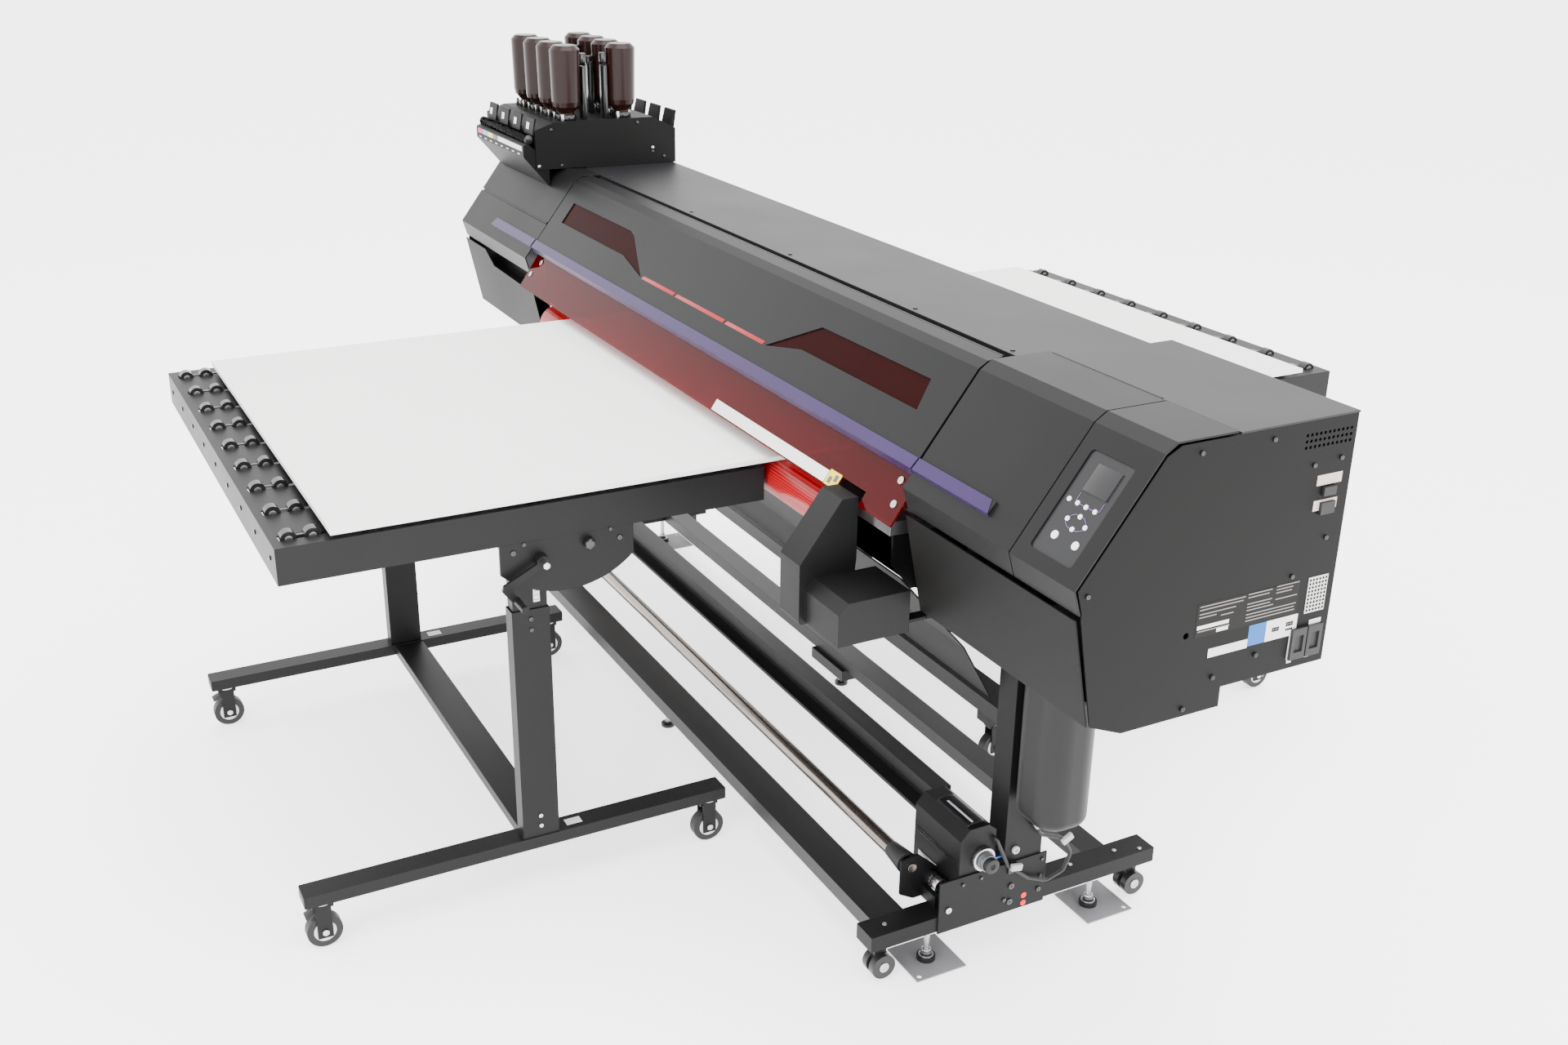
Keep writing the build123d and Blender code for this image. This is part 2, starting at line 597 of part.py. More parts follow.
# ---------------------------------------------------------------- side fittings
with BuildPart() as connectors:
    for socket_y in (216, 253):
        block(body_half, body_half + 6, socket_y - 17, socket_y + 17, 836, 896)
        block(body_half + 2, body_half + 7, socket_y - 10, socket_y + 10, 850, 882, Mode.SUBTRACT)
    block(body_half, body_half + 6, 224, 252, 1142, 1158)
    block(body_half, body_half + 6, 222, 254, 1108, 1130)
finish(connectors.part, "connectors")

tank_x, tank_y = 1183, 20
tank_w, tank_d = 138, 124
with BuildPart() as waste_ink_tank:
    with BuildSketch(Plane.XY.offset(345)):
        with Locations((tank_x, tank_y)):
            RectangleRounded(tank_w, tank_d, 50)
    extrude(amount=430)
    fillet(waste_ink_tank.faces().sort_by(Axis.Z)[0].edges(), 24)
    block(foot_middles[1] + foot_w / 2, tank_x - tank_w / 2 + 8, tank_y - 20, tank_y + 20, 600, 620)
finish(waste_ink_tank.part, "waste_ink_tank")

# ---------------------------------------------------------------- take-up at the front of the stand
with BuildPart() as takeup_rail:
    prism(((-57, 245), (-121, 245), (-121, 253), (-85, 253), (-85, 278), (-100, 278), (-100, 307), (-57, 307)),
          inner_left, 941)
    block(inner_left, inner_left + 6, -57, stand_y, 250, 300)
finish(takeup_rail.part, "takeup_rail")

unit_right = foot_middles[1] + foot_w / 2
bearing_r = 10
bracket_outline = ((bar_y - 25, bar_z - 60), (bar_y - 25, bar_z + 20), (bar_y + 17, bar_z + 26), (-140, bar_z - 20),
                   (-140, foot_top_z), (-200, foot_top_z))
right_bracket_x = bar_right + 12
left_bracket_x = bar_left - 12
with BuildPart() as takeup_unit:
    prism(((-144, foot_top_z), (-144, 288), (-122, 312), (-76, 312), (-57, 296), (-57, foot_top_z)),
          941, unit_right)
    rod(unit_right, unit_right + 8, -90, 238, 19)
    rod(unit_right + 8, unit_right + 40, -90, 238, 15)
    for near in (left_bracket_x, right_bracket_x):
        prism(bracket_outline, near, near + 6)
        rod(near, near + 6, bar_y, bar_z, bearing_r + running, Mode.SUBTRACT)
    block(right_bracket_x + 6, inner_right + 30, -180, -144, foot_top_z, 150)
    block(inner_left - 30, left_bracket_x, -180, -144, foot_top_z, 150)
finish(takeup_unit.part, "takeup_unit")

with BuildPart() as roll_bar:
    rod(bar_left, bar_right, bar_y, bar_z, bar_r)
    rod(bar_left - 16, bar_right + 22, bar_y, bar_z, bearing_r)
finish(roll_bar.part, "roll_bar")

# ---------------------------------------------------------------- cable of the take-up drive, and small fasteners
cable_r = 4
clip_x = unit_right + 12
cable_points = ((unit_right, 40, 330), (clip_x, 40, 330), (clip_x, 42, 262), (clip_x + 4, 104, 236),
                (clip_x + 6, 128, 196), (clip_x + 6, 112, 156), (clip_x + 4, 70, 142),
                (clip_x, 24, 160), (clip_x, -30, 205), (clip_x, -64, 280), (unit_right, -64, 280))
cable_bends = (5, 24, 20, 16, 16, 18, 20, 26, 5)
with BuildPart() as takeup_cable:
    with BuildLine() as cable_route:
        FilletPolyline(*cable_points, radius=cable_bends)
    with BuildSketch(Plane(origin=cable_points[0], z_dir=(1, 0, 0))):
        Circle(cable_r)
    sweep(path=cable_route.wires()[0])
finish(takeup_cable.part, "takeup_cable")

screw_r = 4
screw_h = 2.5
side_screws = ((-56, 1262), (98, 1262), (197, 1201), (258, 1206), (249, 1061), (182, 1000), (-262, 1052))
with BuildPart() as fasteners:
    with BuildSketch(Plane.YZ.offset(body_half)):
        with Locations(*side_screws):
            Circle(screw_r)
    extrude(amount=screw_h)
    for clip_start, clip_y, clip_z in ((unit_right, 41, 292), (unit_right + 4, -12, 190)):
        block(clip_start, clip_x - cable_r, clip_y - 12, clip_y + 12, clip_z - 10, clip_z + 10)
finish(fasteners.part, "fasteners")

# ---------------------------------------------------------------- roller tables, front (-1) and rear (+1)
post_x = (514, 553)
post_near_y, post_far_y = 776, 858
sleeve_t = 3
sleeve_top_z = 686
slide_gap = 0.5
inner_post_low_z = 420
plate_w = 6
plate_outer = table_w / 2
quadrant_near_y, quadrant_far_y = 610, 896
quadrant_edge_z = 802
quadrant_low_z = 745
slot_middle_z, slot_r, slot_half = 1017, 220, 6.5
slot_ends = (771, 652)
clamp_y, clamp_z, clamp_r = 710, 843, 12
clamp_reach = 14
arm_gap = 1.5                 # the crank's arm passes outside the clamp knob
crank_y, crank_z = 813, 824
crank_r, crank_boss_r = 6, 14
elbow_y, elbow_z = 892, 780
grip_y, grip_z = 872, 752
cross_w = 50
line_pitch = (table_w - 100) / (wheel_lines - 1)
line_len = (wheels_per_line - 1) * wheel_pitch
fork_t = 3
fork_gap = 2

for table_name, way in (("front_table", -1), ("rear_table", 1)):
    table_far_y = table_near_y + table_len
    row_middle_y = way * (table_near_y + table_len / 2)

    with BuildPart() as tray:
        block(table_x - table_w / 2, table_x + table_w / 2, *span(way, table_near_y, table_far_y),
              table_z - skirt, table_z)
        block(table_x - table_w / 2 + tray_t, table_x + table_w / 2 - tray_t,
              *span(way, table_near_y + tray_t, table_far_y - tray_t), table_z - skirt, table_z - tray_t,
              Mode.SUBTRACT)
        with BuildSketch(Plane.XY.offset(table_z - tray_t)):
            with Locations((table_x, row_middle_y)):
                with GridLocations(line_pitch, 1, wheel_lines, 1):
                    Rectangle(skate_w + 4, line_len + 2 * skate_r + 4)
        extrude(amount=tray_t, mode=Mode.SUBTRACT)
    finish(tray.part, f"{table_name}_tray")

    with BuildPart() as rollers:
        row_z = board_low_z - touch - skate_r
        for n in range(wheel_lines):
            wheel_x = table_x + (n - (wheel_lines - 1) / 2) * line_pitch
            block(wheel_x - link_w / 2, wheel_x + link_w / 2, row_middle_y - line_len / 2,
                  row_middle_y + line_len / 2, row_z - link_h / 2, row_z + link_h / 2)
            for k in range(wheels_per_line):
                wheel_y = row_middle_y + (k - (wheels_per_line - 1) / 2) * wheel_pitch
                rod(wheel_x - skate_w / 2, wheel_x + skate_w / 2, wheel_y, row_z, skate_r)
    finish(rollers.part, f"{table_name}_rollers")

    with BuildPart() as lift:
        for side in (-1, 1):
            post_out = table_x + side * (post_x[1] - sleeve_t - slide_gap)
            post_in = table_x + side * (post_x[0] + sleeve_t + slide_gap)
            block(min(post_out, post_in), max(post_out, post_in),
                  *span(way, post_near_y + sleeve_t + slide_gap, post_far_y - sleeve_t - slide_gap),
                  inner_post_low_z, table_z - skirt + 40)
            plate_in = table_x + side * (plate_outer - plate_w)
            plate_out = table_x + side * plate_outer
            with BuildSketch(Plane.YZ.offset(min(plate_in, plate_out))):
                with BuildLine():
                    Polyline((way * quadrant_far_y, quadrant_edge_z), (way * quadrant_far_y, table_z - skirt),
                             (way * quadrant_near_y, table_z - skirt), (way * quadrant_near_y, quadrant_edge_z))
                    ThreePointArc((way * quadrant_near_y, quadrant_edge_z),
                                  (way * (quadrant_near_y + quadrant_far_y) / 2, quadrant_low_z),
                                  (way * quadrant_far_y, quadrant_edge_z))
                make_face()
            extrude(amount=plate_w)
            slot_middle_y = (quadrant_near_y + quadrant_far_y) / 2
            slot_points = [(way * y, slot_middle_z - (slot_r ** 2 - (y - slot_middle_y) ** 2) ** 0.5)
                           for y in (slot_ends[0], sum(slot_ends) / 2, slot_ends[1])]
            with BuildSketch(Plane.YZ.offset(min(plate_in, plate_out))):
                SlotArc(arc=ThreePointArc(*slot_points, mode=Mode.PRIVATE), height=2 * slot_half)
            extrude(amount=plate_w, mode=Mode.SUBTRACT)
            rod(min(plate_in, post_out), max(plate_in, post_out), way * crank_y, crank_z, crank_boss_r)
            crank_deep = plate_in - side * 14
            rod(min(crank_deep, plate_out), max(crank_deep, plate_out), way * crank_y, crank_z,
                crank_r + running, Mode.SUBTRACT)
            clamp_end = plate_out + side * clamp_reach
            rod(min(plate_in, clamp_end), max(plate_in, clamp_end), way * clamp_y, clamp_z, clamp_r)
        block(table_x - post_x[0] - sleeve_t - 1, table_x + post_x[0] + sleeve_t + 1,
              *span(way, crank_y - cross_w / 2, crank_y + cross_w / 2), table_z - skirt - 24, table_z - skirt)
    finish(lift.part, f"{table_name}_lift")

    with BuildPart() as base:
        for side in (-1, 1):
            rail_middle = table_x + side * rail_x
            block(rail_middle - rail_w / 2, rail_middle + rail_w / 2, *span(way, rail_near_y, rail_far_y),
                  rail_low_z, rail_top_z)
            sleeve_in, sleeve_out = table_x + side * post_x[0], table_x + side * post_x[1]
            hollow_in, hollow_out = sleeve_in + side * sleeve_t, sleeve_out - side * sleeve_t
            block(min(sleeve_in, sleeve_out), max(sleeve_in, sleeve_out), *span(way, post_near_y, post_far_y),
                  rail_top_z, sleeve_top_z)
            block(min(hollow_in, hollow_out), max(hollow_in, hollow_out),
                  *span(way, post_near_y + sleeve_t, post_far_y - sleeve_t), rail_top_z + 3, sleeve_top_z,
                  Mode.SUBTRACT)
            for axle_y in (caster_near_y, caster_far_y):
                for face in (-1, 1):
                    cheek_in = rail_middle + face * (caster_w / 2 + fork_gap)
                    cheek_out = cheek_in + face * fork_t
                    block(min(cheek_in, cheek_out), max(cheek_in, cheek_out),
                          *span(way, axle_y - 16, axle_y + 16), caster_r - 14, rail_low_z)
                    rod(min(cheek_in, cheek_out), max(cheek_in, cheek_out), way * axle_y, caster_r,
                        axle_r + running, Mode.SUBTRACT)
                block(rail_middle - caster_w / 2 - fork_gap, rail_middle + caster_w / 2 + fork_gap,
                      *span(way, axle_y - 22, axle_y + 22), rail_low_z - 16, rail_low_z)
        block(table_x - rail_x, table_x + rail_x, *span(way, crank_y - 38, crank_y + 38),
              rail_low_z + 2, rail_top_z - 2)
    finish(base.part, f"{table_name}_base")

    with BuildPart() as crank:
        hub = table_x + plate_outer + 0.5
        rod(hub - plate_w - 12, hub + 8, way * crank_y, crank_z, crank_r)
        arm = table_x + plate_outer + clamp_reach + arm_gap
        rod(hub, arm + 7, way * crank_y, crank_z, crank_boss_r)
        prism(((way * (crank_y - 6), crank_z + 9), (way * (elbow_y + 6), elbow_z + 8), (way * (elbow_y + 9), elbow_z - 4),
               (way * (grip_y + 4), grip_z - 10), (way * (grip_y - 9), grip_z - 3), (way * (elbow_y - 12), elbow_z - 6),
               (way * (crank_y + 2), crank_z - 10)), arm, arm + 7)
        rod(arm, arm + 58, way * grip_y, grip_z, 8)
    finish(crank.part, f"{table_name}_crank")

    for wheel_name, axle_y in (("wheels_outer", caster_far_y), ("wheels_inner", caster_near_y)):
        with BuildPart() as wheels:
            for side in (-1, 1):
                rail_middle = table_x + side * rail_x
                rod(rail_middle - caster_w / 2, rail_middle + caster_w / 2, way * axle_y, caster_r, caster_r)
                rod(rail_middle - caster_w / 2 - fork_gap - fork_t - 3,
                    rail_middle + caster_w / 2 + fork_gap + fork_t + 3, way * axle_y, caster_r, axle_r)
        finish(wheels.part, f"{table_name}_{wheel_name}")
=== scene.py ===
import math

import bmesh
import bpy
from mathutils import Matrix, Vector


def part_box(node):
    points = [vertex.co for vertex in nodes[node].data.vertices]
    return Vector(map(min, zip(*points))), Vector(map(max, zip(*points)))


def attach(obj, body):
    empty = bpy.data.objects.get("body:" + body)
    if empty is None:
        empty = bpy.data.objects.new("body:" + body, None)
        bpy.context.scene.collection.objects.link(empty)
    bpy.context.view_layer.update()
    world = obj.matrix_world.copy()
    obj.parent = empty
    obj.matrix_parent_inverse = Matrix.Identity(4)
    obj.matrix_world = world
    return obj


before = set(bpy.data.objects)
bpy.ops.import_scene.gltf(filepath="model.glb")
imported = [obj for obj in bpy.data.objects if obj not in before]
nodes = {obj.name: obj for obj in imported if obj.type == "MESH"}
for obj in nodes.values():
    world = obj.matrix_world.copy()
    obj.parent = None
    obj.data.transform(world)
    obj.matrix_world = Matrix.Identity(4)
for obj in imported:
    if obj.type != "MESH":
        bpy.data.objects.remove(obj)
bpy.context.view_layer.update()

# ---------------------------------------------------------------- covers and panels
# The body is folded steel sheet with a satin black powder coat: a fine pebbled surface, slightly
# uneven gloss, and soft folded edges that catch the light.


def coat(name, colour, rough=0.42, grain=900.0, bump=0.12, bloom=0.35, metal=0.0, glow=0.3, fold=0.0015):
    """A cloudy tint, uneven gloss and a fine pebbled surface, with softened edges."""
    made = bpy.data.materials.new(name)
    made.use_nodes = True
    tree = made.node_tree
    shader = tree.nodes["Principled BSDF"]
    place = tree.nodes.new("ShaderNodeTexCoord")
    clouds = tree.nodes.new("ShaderNodeTexNoise")
    clouds.inputs["Scale"].default_value = 3.5
    clouds.inputs["Detail"].default_value = 5.0
    tint = tree.nodes.new("ShaderNodeValToRGB")
    tint.color_ramp.elements[0].position = 0.30
    tint.color_ramp.elements[0].color = (*[c * (1 - bloom * 0.5) for c in colour], 1)
    tint.color_ramp.elements[1].position = 0.72
    tint.color_ramp.elements[1].color = (*[min(1, c * (1 + bloom * 0.5)) for c in colour], 1)
    sheen = tree.nodes.new("ShaderNodeMapRange")
    sheen.inputs["To Min"].default_value = rough - 0.05
    sheen.inputs["To Max"].default_value = rough + 0.07
    pebble = tree.nodes.new("ShaderNodeTexNoise")
    pebble.inputs["Scale"].default_value = grain
    pebble.inputs["Detail"].default_value = 2.0
    raised = tree.nodes.new("ShaderNodeBump")
    raised.inputs["Strength"].default_value = bump
    raised.inputs["Distance"].default_value = 0.0004
    link = tree.links.new
    if fold:
        edge = tree.nodes.new("ShaderNodeBevel")
        edge.samples = 4
        edge.inputs["Radius"].default_value = fold
        link(edge.outputs["Normal"], raised.inputs["Normal"])
    link(place.outputs["Object"], clouds.inputs["Vector"])
    link(place.outputs["Object"], pebble.inputs["Vector"])
    link(clouds.outputs["Fac"], tint.inputs["Fac"])
    link(tint.outputs["Color"], shader.inputs["Base Color"])
    link(clouds.outputs["Fac"], sheen.inputs["Value"])
    link(sheen.outputs["Result"], shader.inputs["Roughness"])
    link(pebble.outputs["Fac"], raised.inputs["Height"])
    link(raised.outputs["Normal"], shader.inputs["Normal"])
    shader.inputs["Metallic"].default_value = metal
    shader.inputs["Specular IOR Level"].default_value = glow
    return made


def dress(material, *names):
    """The material takes every slot of these CAD nodes."""
    for name in names:
        mesh = nodes[name].data
        mesh.materials.clear()
        mesh.materials.append(material)


black_coat = coat("black_coat", (0.0050, 0.0050, 0.0054), glow=0.16)
side_coat = coat("side_coat", (0.0036, 0.0033, 0.0032), rough=0.5, glow=0.11)
roof_coat = coat("roof_coat", (0.0085, 0.0078, 0.0088), rough=0.44, glow=0.26)
dress(black_coat, "left_cover", "control_cover", "hood", "right_cover", "drive_housing")
dress(side_coat, "right_side_panel", "lower_front_panels", "front_apron", "ink_housing", "ink_front_tray")
dress(roof_coat, "top_covers", "rear_shell")


# ---------------------------------------------------------------- purple strip across the covers
# A folded strip of purple anodised aluminium along the foot of the slope. The hood's own length is
# one piece, and a shorter end piece with a cut tip is fixed on each end cover.
def cube_piece(name, low, high, edge=0.0, segments=2):
    """A block between two corners, added as a cube and bevelled on its edges in edit mode."""
    bpy.ops.object.select_all(action="DESELECT")
    middle = [(a + b) / 2 for a, b in zip(low, high)]
    bpy.ops.mesh.primitive_cube_add(size=1, location=middle)
    made = bpy.context.object
    made.name = made.data.name = name
    made.scale = [b - a for a, b in zip(low, high)]
    bpy.ops.object.transform_apply(location=True, rotation=False, scale=True)
    if edge:
        bpy.ops.object.mode_set(mode="EDIT")
        bpy.ops.mesh.select_all(action="SELECT")
        bpy.ops.mesh.bevel(offset=edge, segments=segments)
        bpy.ops.object.mode_set(mode="OBJECT")
    return made


def outline_piece(name, outline, x0, x1):
    """A (y, z) outline run along X: one face, extruded in edit mode."""
    mesh = bpy.data.meshes.new(name)
    mesh.from_pydata([(x0, y, z) for y, z in outline], [], [list(range(len(outline)))])
    made = bpy.data.objects.new(name, mesh)
    bpy.context.collection.objects.link(made)
    bpy.ops.object.select_all(action="DESELECT")
    made.select_set(True)
    bpy.context.view_layer.objects.active = made
    bpy.ops.object.mode_set(mode="EDIT")
    bpy.ops.mesh.select_all(action="SELECT")
    bpy.ops.mesh.extrude_region_move(TRANSFORM_OT_translate={"value": (x1 - x0, 0, 0)})
    bpy.ops.mesh.select_all(action="SELECT")
    bpy.ops.mesh.normals_make_consistent(inside=False)
    bpy.ops.object.mode_set(mode="OBJECT")
    return made


def settle(piece, material, body, smooth=30):
    """Gives a finished piece its material, smooth shading by angle and its body."""
    if material is not None:
        piece.data.materials.clear()
        piece.data.materials.append(material)
    bpy.ops.object.select_all(action="DESELECT")
    piece.select_set(True)
    bpy.context.view_layer.objects.active = piece
    bpy.ops.object.shade_smooth_by_angle(angle=math.radians(smooth))
    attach(piece, body)
    return piece


purple = coat("purple_strip", (0.030, 0.016, 0.066), rough=0.34, metal=0.45, bloom=0.2, grain=1500,
              bump=0.05,
              glow=0.3)
dress(purple, "hood_strip")
strip_low, strip_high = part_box("hood_strip")
strip_skin = 0.0008
strip_shape = [(-0.2535, 1.1166), (-0.2558, 1.1186), (-0.2727, 1.1002), (-0.2646, 1.0826),
               (-0.2560, 1.0835)]
for name, x0, x1, body in (("left_strip", -1.327, strip_low.x - 0.006, "printer"),
                           ("right_strip", strip_high.x + 0.006, 1.302, "right_cover")):
    strip = outline_piece(name, [(y - strip_skin * 0.3, z) for y, z in strip_shape], x0, x1)
    tip_x = x0 if name == "left_strip" else x1
    for corner in strip.data.vertices:
        if abs(corner.co.x - tip_x) < 1e-5 and corner.co.z > 1.11:
            corner.co.x += 0.012 if name == "left_strip" else -0.012
    settle(strip, purple, body)

# ---------------------------------------------------------------- ruby shade and windows
# Transparent ruby acrylic that holds back the ultraviolet light of the lamps. The windows in the hood are
# the same sheet, coloured nearly black and nearly opaque: painted shade of the dark inside behind them.


def acrylic(name, colour, clear, rough=0.06, ior=1.2, gloss=0.2):
    """Tinted acrylic sheet: part of the light goes straight through, tinted, and the face stays glossy."""
    made = bpy.data.materials.new(name)
    made.use_nodes = True
    tree = made.node_tree
    shader = tree.nodes["Principled BSDF"]
    place = tree.nodes.new("ShaderNodeTexCoord")
    haze = tree.nodes.new("ShaderNodeTexNoise")
    haze.inputs["Scale"].default_value = 6.0
    tint = tree.nodes.new("ShaderNodeValToRGB")
    tint.color_ramp.elements[0].color = (*[c * 0.8 for c in colour], 1)
    tint.color_ramp.elements[1].color = (*colour, 1)
    link = tree.links.new
    link(place.outputs["Object"], haze.inputs["Vector"])
    link(haze.outputs["Fac"], tint.inputs["Fac"])
    link(tint.outputs["Color"], shader.inputs["Base Color"])
    shader.inputs["Roughness"].default_value = rough
    shader.inputs["Transmission Weight"].default_value = clear
    shader.inputs["IOR"].default_value = ior
    shader.inputs["Specular IOR Level"].default_value = gloss
    return made


dress(acrylic("ruby_acrylic", (0.30, 0.0015, 0.004), 0.90, gloss=0.12), "uv_shade")
# Near-black window colour: painted shade of the dark inside of the hood.
dress(acrylic("window_acrylic_painted_shade", (0.016, 0.0024, 0.0022), 0.10, rough=0.22, gloss=0.05), "hood_windows")

# ---------------------------------------------------------------- trim bars on the hood
# Three short flat bars of red trim stuck to the slope between the windows.
bend, strip_top = Vector((0, -0.133, 1.272)), Vector((0, -0.253, 1.116))
slope_up = (bend - strip_top).normalized()
slope_out = Vector((0, -slope_up.z, slope_up.y))


def on_slope(piece, x, down, lift=0.0):
    """Moves a mesh built flat about the origin (Z outwards) to a place down the slope."""
    turn = Matrix((Vector((1, 0, 0)), slope_up, slope_out)).transposed().to_4x4()
    spot = bend - slope_up * down + slope_out * lift
    piece.data.transform(Matrix.Translation((x, spot.y, spot.z)) @ turn)
    piece.data.update()


trim_red = coat("trim_red", (0.26, 0.004, 0.008), rough=0.30, bloom=0.25, grain=1200, bump=0.04, fold=0)
for k, (x0, x1) in enumerate(((-0.287, -0.097), (-0.086, 0.176), (0.187, 0.373))):
    bar = cube_piece(f"trim_bar_{k}", (-(x1 - x0) / 2, -0.0045, -0.0004), ((x1 - x0) / 2, 0.0045, 0.0007),
                     0.0004)
    for corner in bar.data.vertices:
        corner.co.x += corner.co.y * 0.6
    on_slope(bar, (x0 + x1) / 2, 0.1465, 0.0)
    settle(bar, trim_red, "hood")

# ---------------------------------------------------------------- label, marks and screws on the shade
# A long blank paper label along the foot of the shade, a yellow mark at its end, and the ringed
# screws that hold the acrylic to the hood.
paper = coat("label_paper", (0.70, 0.69, 0.67), rough=0.6, bloom=0.05, grain=700, bump=0.05, fold=0)
yellow = coat("label_yellow", (0.72, 0.55, 0.015), rough=0.55, bloom=0.08, grain=700, bump=0.05, fold=0)
ink_grey = coat("label_ink", (0.09, 0.09, 0.095), rough=0.6, bloom=0.05, grain=700, bump=0.05, fold=0)
zinc = coat("zinc", (0.52, 0.52, 0.53), rough=0.28, metal=1.0, bloom=0.15, bump=0.05)
shade_foot, shade_head = Vector((0, -0.311, 0.990)), Vector((0, -0.2466, 1.0825))
shade_up = (shade_head - shade_foot).normalized()
shade_out = Vector((0, -shade_up.z, shade_up.y))


def on_shade(piece, x, up, lift=0.0):
    """Moves a mesh built flat about the origin to a height up the shade's face."""
    turn = Matrix((Vector((1, 0, 0)), shade_up, shade_out)).transposed().to_4x4()
    spot = shade_foot + shade_up * up + shade_out * lift
    piece.data.transform(Matrix.Translation((x, spot.y, spot.z)) @ turn)
    piece.data.update()


shade_label = cube_piece("shade_label", (-0.255, -0.013, 0), (0.255, 0.013, 0.0005), 0.0002)
on_shade(shade_label, 0.545, 0.016, 0.0002)
settle(shade_label, paper, "hood")
shade_mark = cube_piece("shade_mark", (-0.022, -0.016, 0), (0.022, 0.016, 0.0006), 0.0002)
on_shade(shade_mark, 0.824, 0.018, 0.0002)
settle(shade_mark, yellow, "hood")
for k, x in enumerate((0.815, 0.833)):
    mark = cube_piece(f"shade_mark_sign_{k}", (-0.006, -0.007, 0), (0.006, 0.007, 0.0003), 0.0001)
    on_shade(mark, x, 0.014 + 0.008 * k, 0.0008)
    settle(mark, ink_grey, "hood")


def disc_piece(name, radius, depth, edge=0.0, sides=24, ring=None):
    """A flat round piece about the origin with its face to +Z, bevelled, with an optional inset ring."""
    bpy.ops.object.select_all(action="DESELECT")
    bpy.ops.mesh.primitive_cylinder_add(vertices=sides, radius=radius, depth=depth,
                                        location=(0, 0, depth / 2))
    made = bpy.context.object
    made.name = made.data.name = name
    bpy.ops.object.transform_apply(location=True, rotation=False, scale=True)
    bpy.ops.object.mode_set(mode="EDIT")
    if edge:
        bpy.ops.mesh.select_all(action="SELECT")
        bpy.ops.mesh.bevel(offset=edge, segments=2)
    if ring:
        bpy.ops.mesh.select_all(action="DESELECT")
        shape = bmesh.from_edit_mesh(made.data)
        for face in shape.faces:
            face.select_set(face.normal.z > 0.99)
        bmesh.update_edit_mesh(made.data)
        bpy.ops.mesh.inset(thickness=radius * (1 - ring))
        bpy.ops.mesh.extrude_region_move(TRANSFORM_OT_translate={"value": (0, 0, -depth * 0.5)})
    bpy.ops.object.mode_set(mode="OBJECT")
    return made


for k, (x, up) in enumerate(((-0.950, 0.045), (-0.925, 0.088), (1.030, 0.040), (1.012, 0.085))):
    screw = disc_piece(f"shade_screw_{k}", 0.008, 0.003, 0.0008, ring=0.55)
    on_shade(screw, x, up, 0.0)
    settle(screw, zinc, "hood")

# ---------------------------------------------------------------- screws on the covers and panels
# Small pan-head screws with a sunk driver recess, dull zinc on the side panel and black on the roof.


def pan_screw(name, radius, height):
    """A domed screw head about the origin with a round driver recess sunk in its top."""
    return disc_piece(name, radius, height, min(radius * 0.3, height * 0.35), sides=16, ring=0.42)


def facing(piece, spot, out):
    """Turns a mesh built about the origin so that its Z points along out, and moves it to spot."""
    turn = Vector(out).to_track_quat("Z", "Y").to_matrix().to_4x4()
    piece.data.transform(Matrix.Translation(spot) @ turn)
    piece.data.update()
    return piece


side_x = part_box("right_side_panel")[1].x
dull_zinc = coat("dull_zinc", (0.05, 0.05, 0.052), rough=0.34, metal=0.9, bloom=0.2, bump=0.05)
screw_black = coat("screw_black", (0.008, 0.008, 0.009), rough=0.35, glow=0.4)
dress(screw_black, "fasteners")
for k, (y, z) in enumerate((
        (-0.056, 1.262), (0.098, 1.262), (0.197, 1.201), (0.258, 1.206), (0.249, 1.061),
        (0.182, 1.000), (-0.262, 1.052))):
    screw = facing(pan_screw(f"side_screw_{k}", 0.0046, 0.0032), (side_x, y, z), (1, 0, 0))
    settle(screw, dull_zinc, "printer")
roof_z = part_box("top_covers")[1].z
for k, x in enumerate((-0.94, -0.40, 0.14, 0.68, 1.02)):
    screw = facing(pan_screw(f"roof_screw_{k}", 0.005, 0.0022), (x, -0.034, roof_z), (0, 0, 1))
    settle(screw, screw_black, "printer")

# ---------------------------------------------------------------- stand
# Rectangular steel tube, black powder coat like the body, a shade lighter on the base rails.
stand_coat = coat("stand_coat", (0.0042, 0.0042, 0.0046), rough=0.46, glow=0.15)
rail_coat = coat("rail_coat", (0.0065, 0.0060, 0.0068), rough=0.40, glow=0.24)
dress(stand_coat, "stand_frames", "chassis", "takeup_unit")
dress(rail_coat, "stand_beams", "takeup_rail")
dress(coat("plate_grey", (0.14, 0.14, 0.148), rough=0.5, grain=500.0), "stand_feet")
table_coat = coat("table_coat", (0.0045, 0.0045, 0.0049), rough=0.42, glow=0.18)
skate_gloss = coat("skate_gloss", (0.006, 0.006, 0.007), rough=0.20, grain=250.0, bloom=0.2, glow=0.6,
                   fold=0)
tyre_black = coat("tyre_black", (0.011, 0.011, 0.012), rough=0.5, grain=400.0, bump=0.2)
for table in ("front_table", "rear_table"):
    dress(table_coat, f"{table}_tray", f"{table}_lift", f"{table}_base", f"{table}_crank")
    dress(skate_gloss, f"{table}_rollers")
    dress(tyre_black, f"{table}_wheels_outer", f"{table}_wheels_inner")
dress(coat("mech_black", (0.012, 0.012, 0.013), rough=0.5), "carriage", "capping_station", "drive_roller",
      "pinch_rollers", "connectors")
dress(coat("tank_black", (0.0065, 0.0060, 0.0063), rough=0.40, bloom=0.25, bump=0.06, glow=0.22),
      "waste_ink_tank")
dress(coat("cable_black", (0.010, 0.010, 0.011), rough=0.42, bump=0.05, fold=0), "takeup_cable")
dress(coat("platen_alloy", (0.30, 0.30, 0.31), rough=0.35, metal=1.0), "platen")
dress(coat("rail_steel", (0.42, 0.41, 0.40), rough=0.30, metal=1.0), "guide_rail")
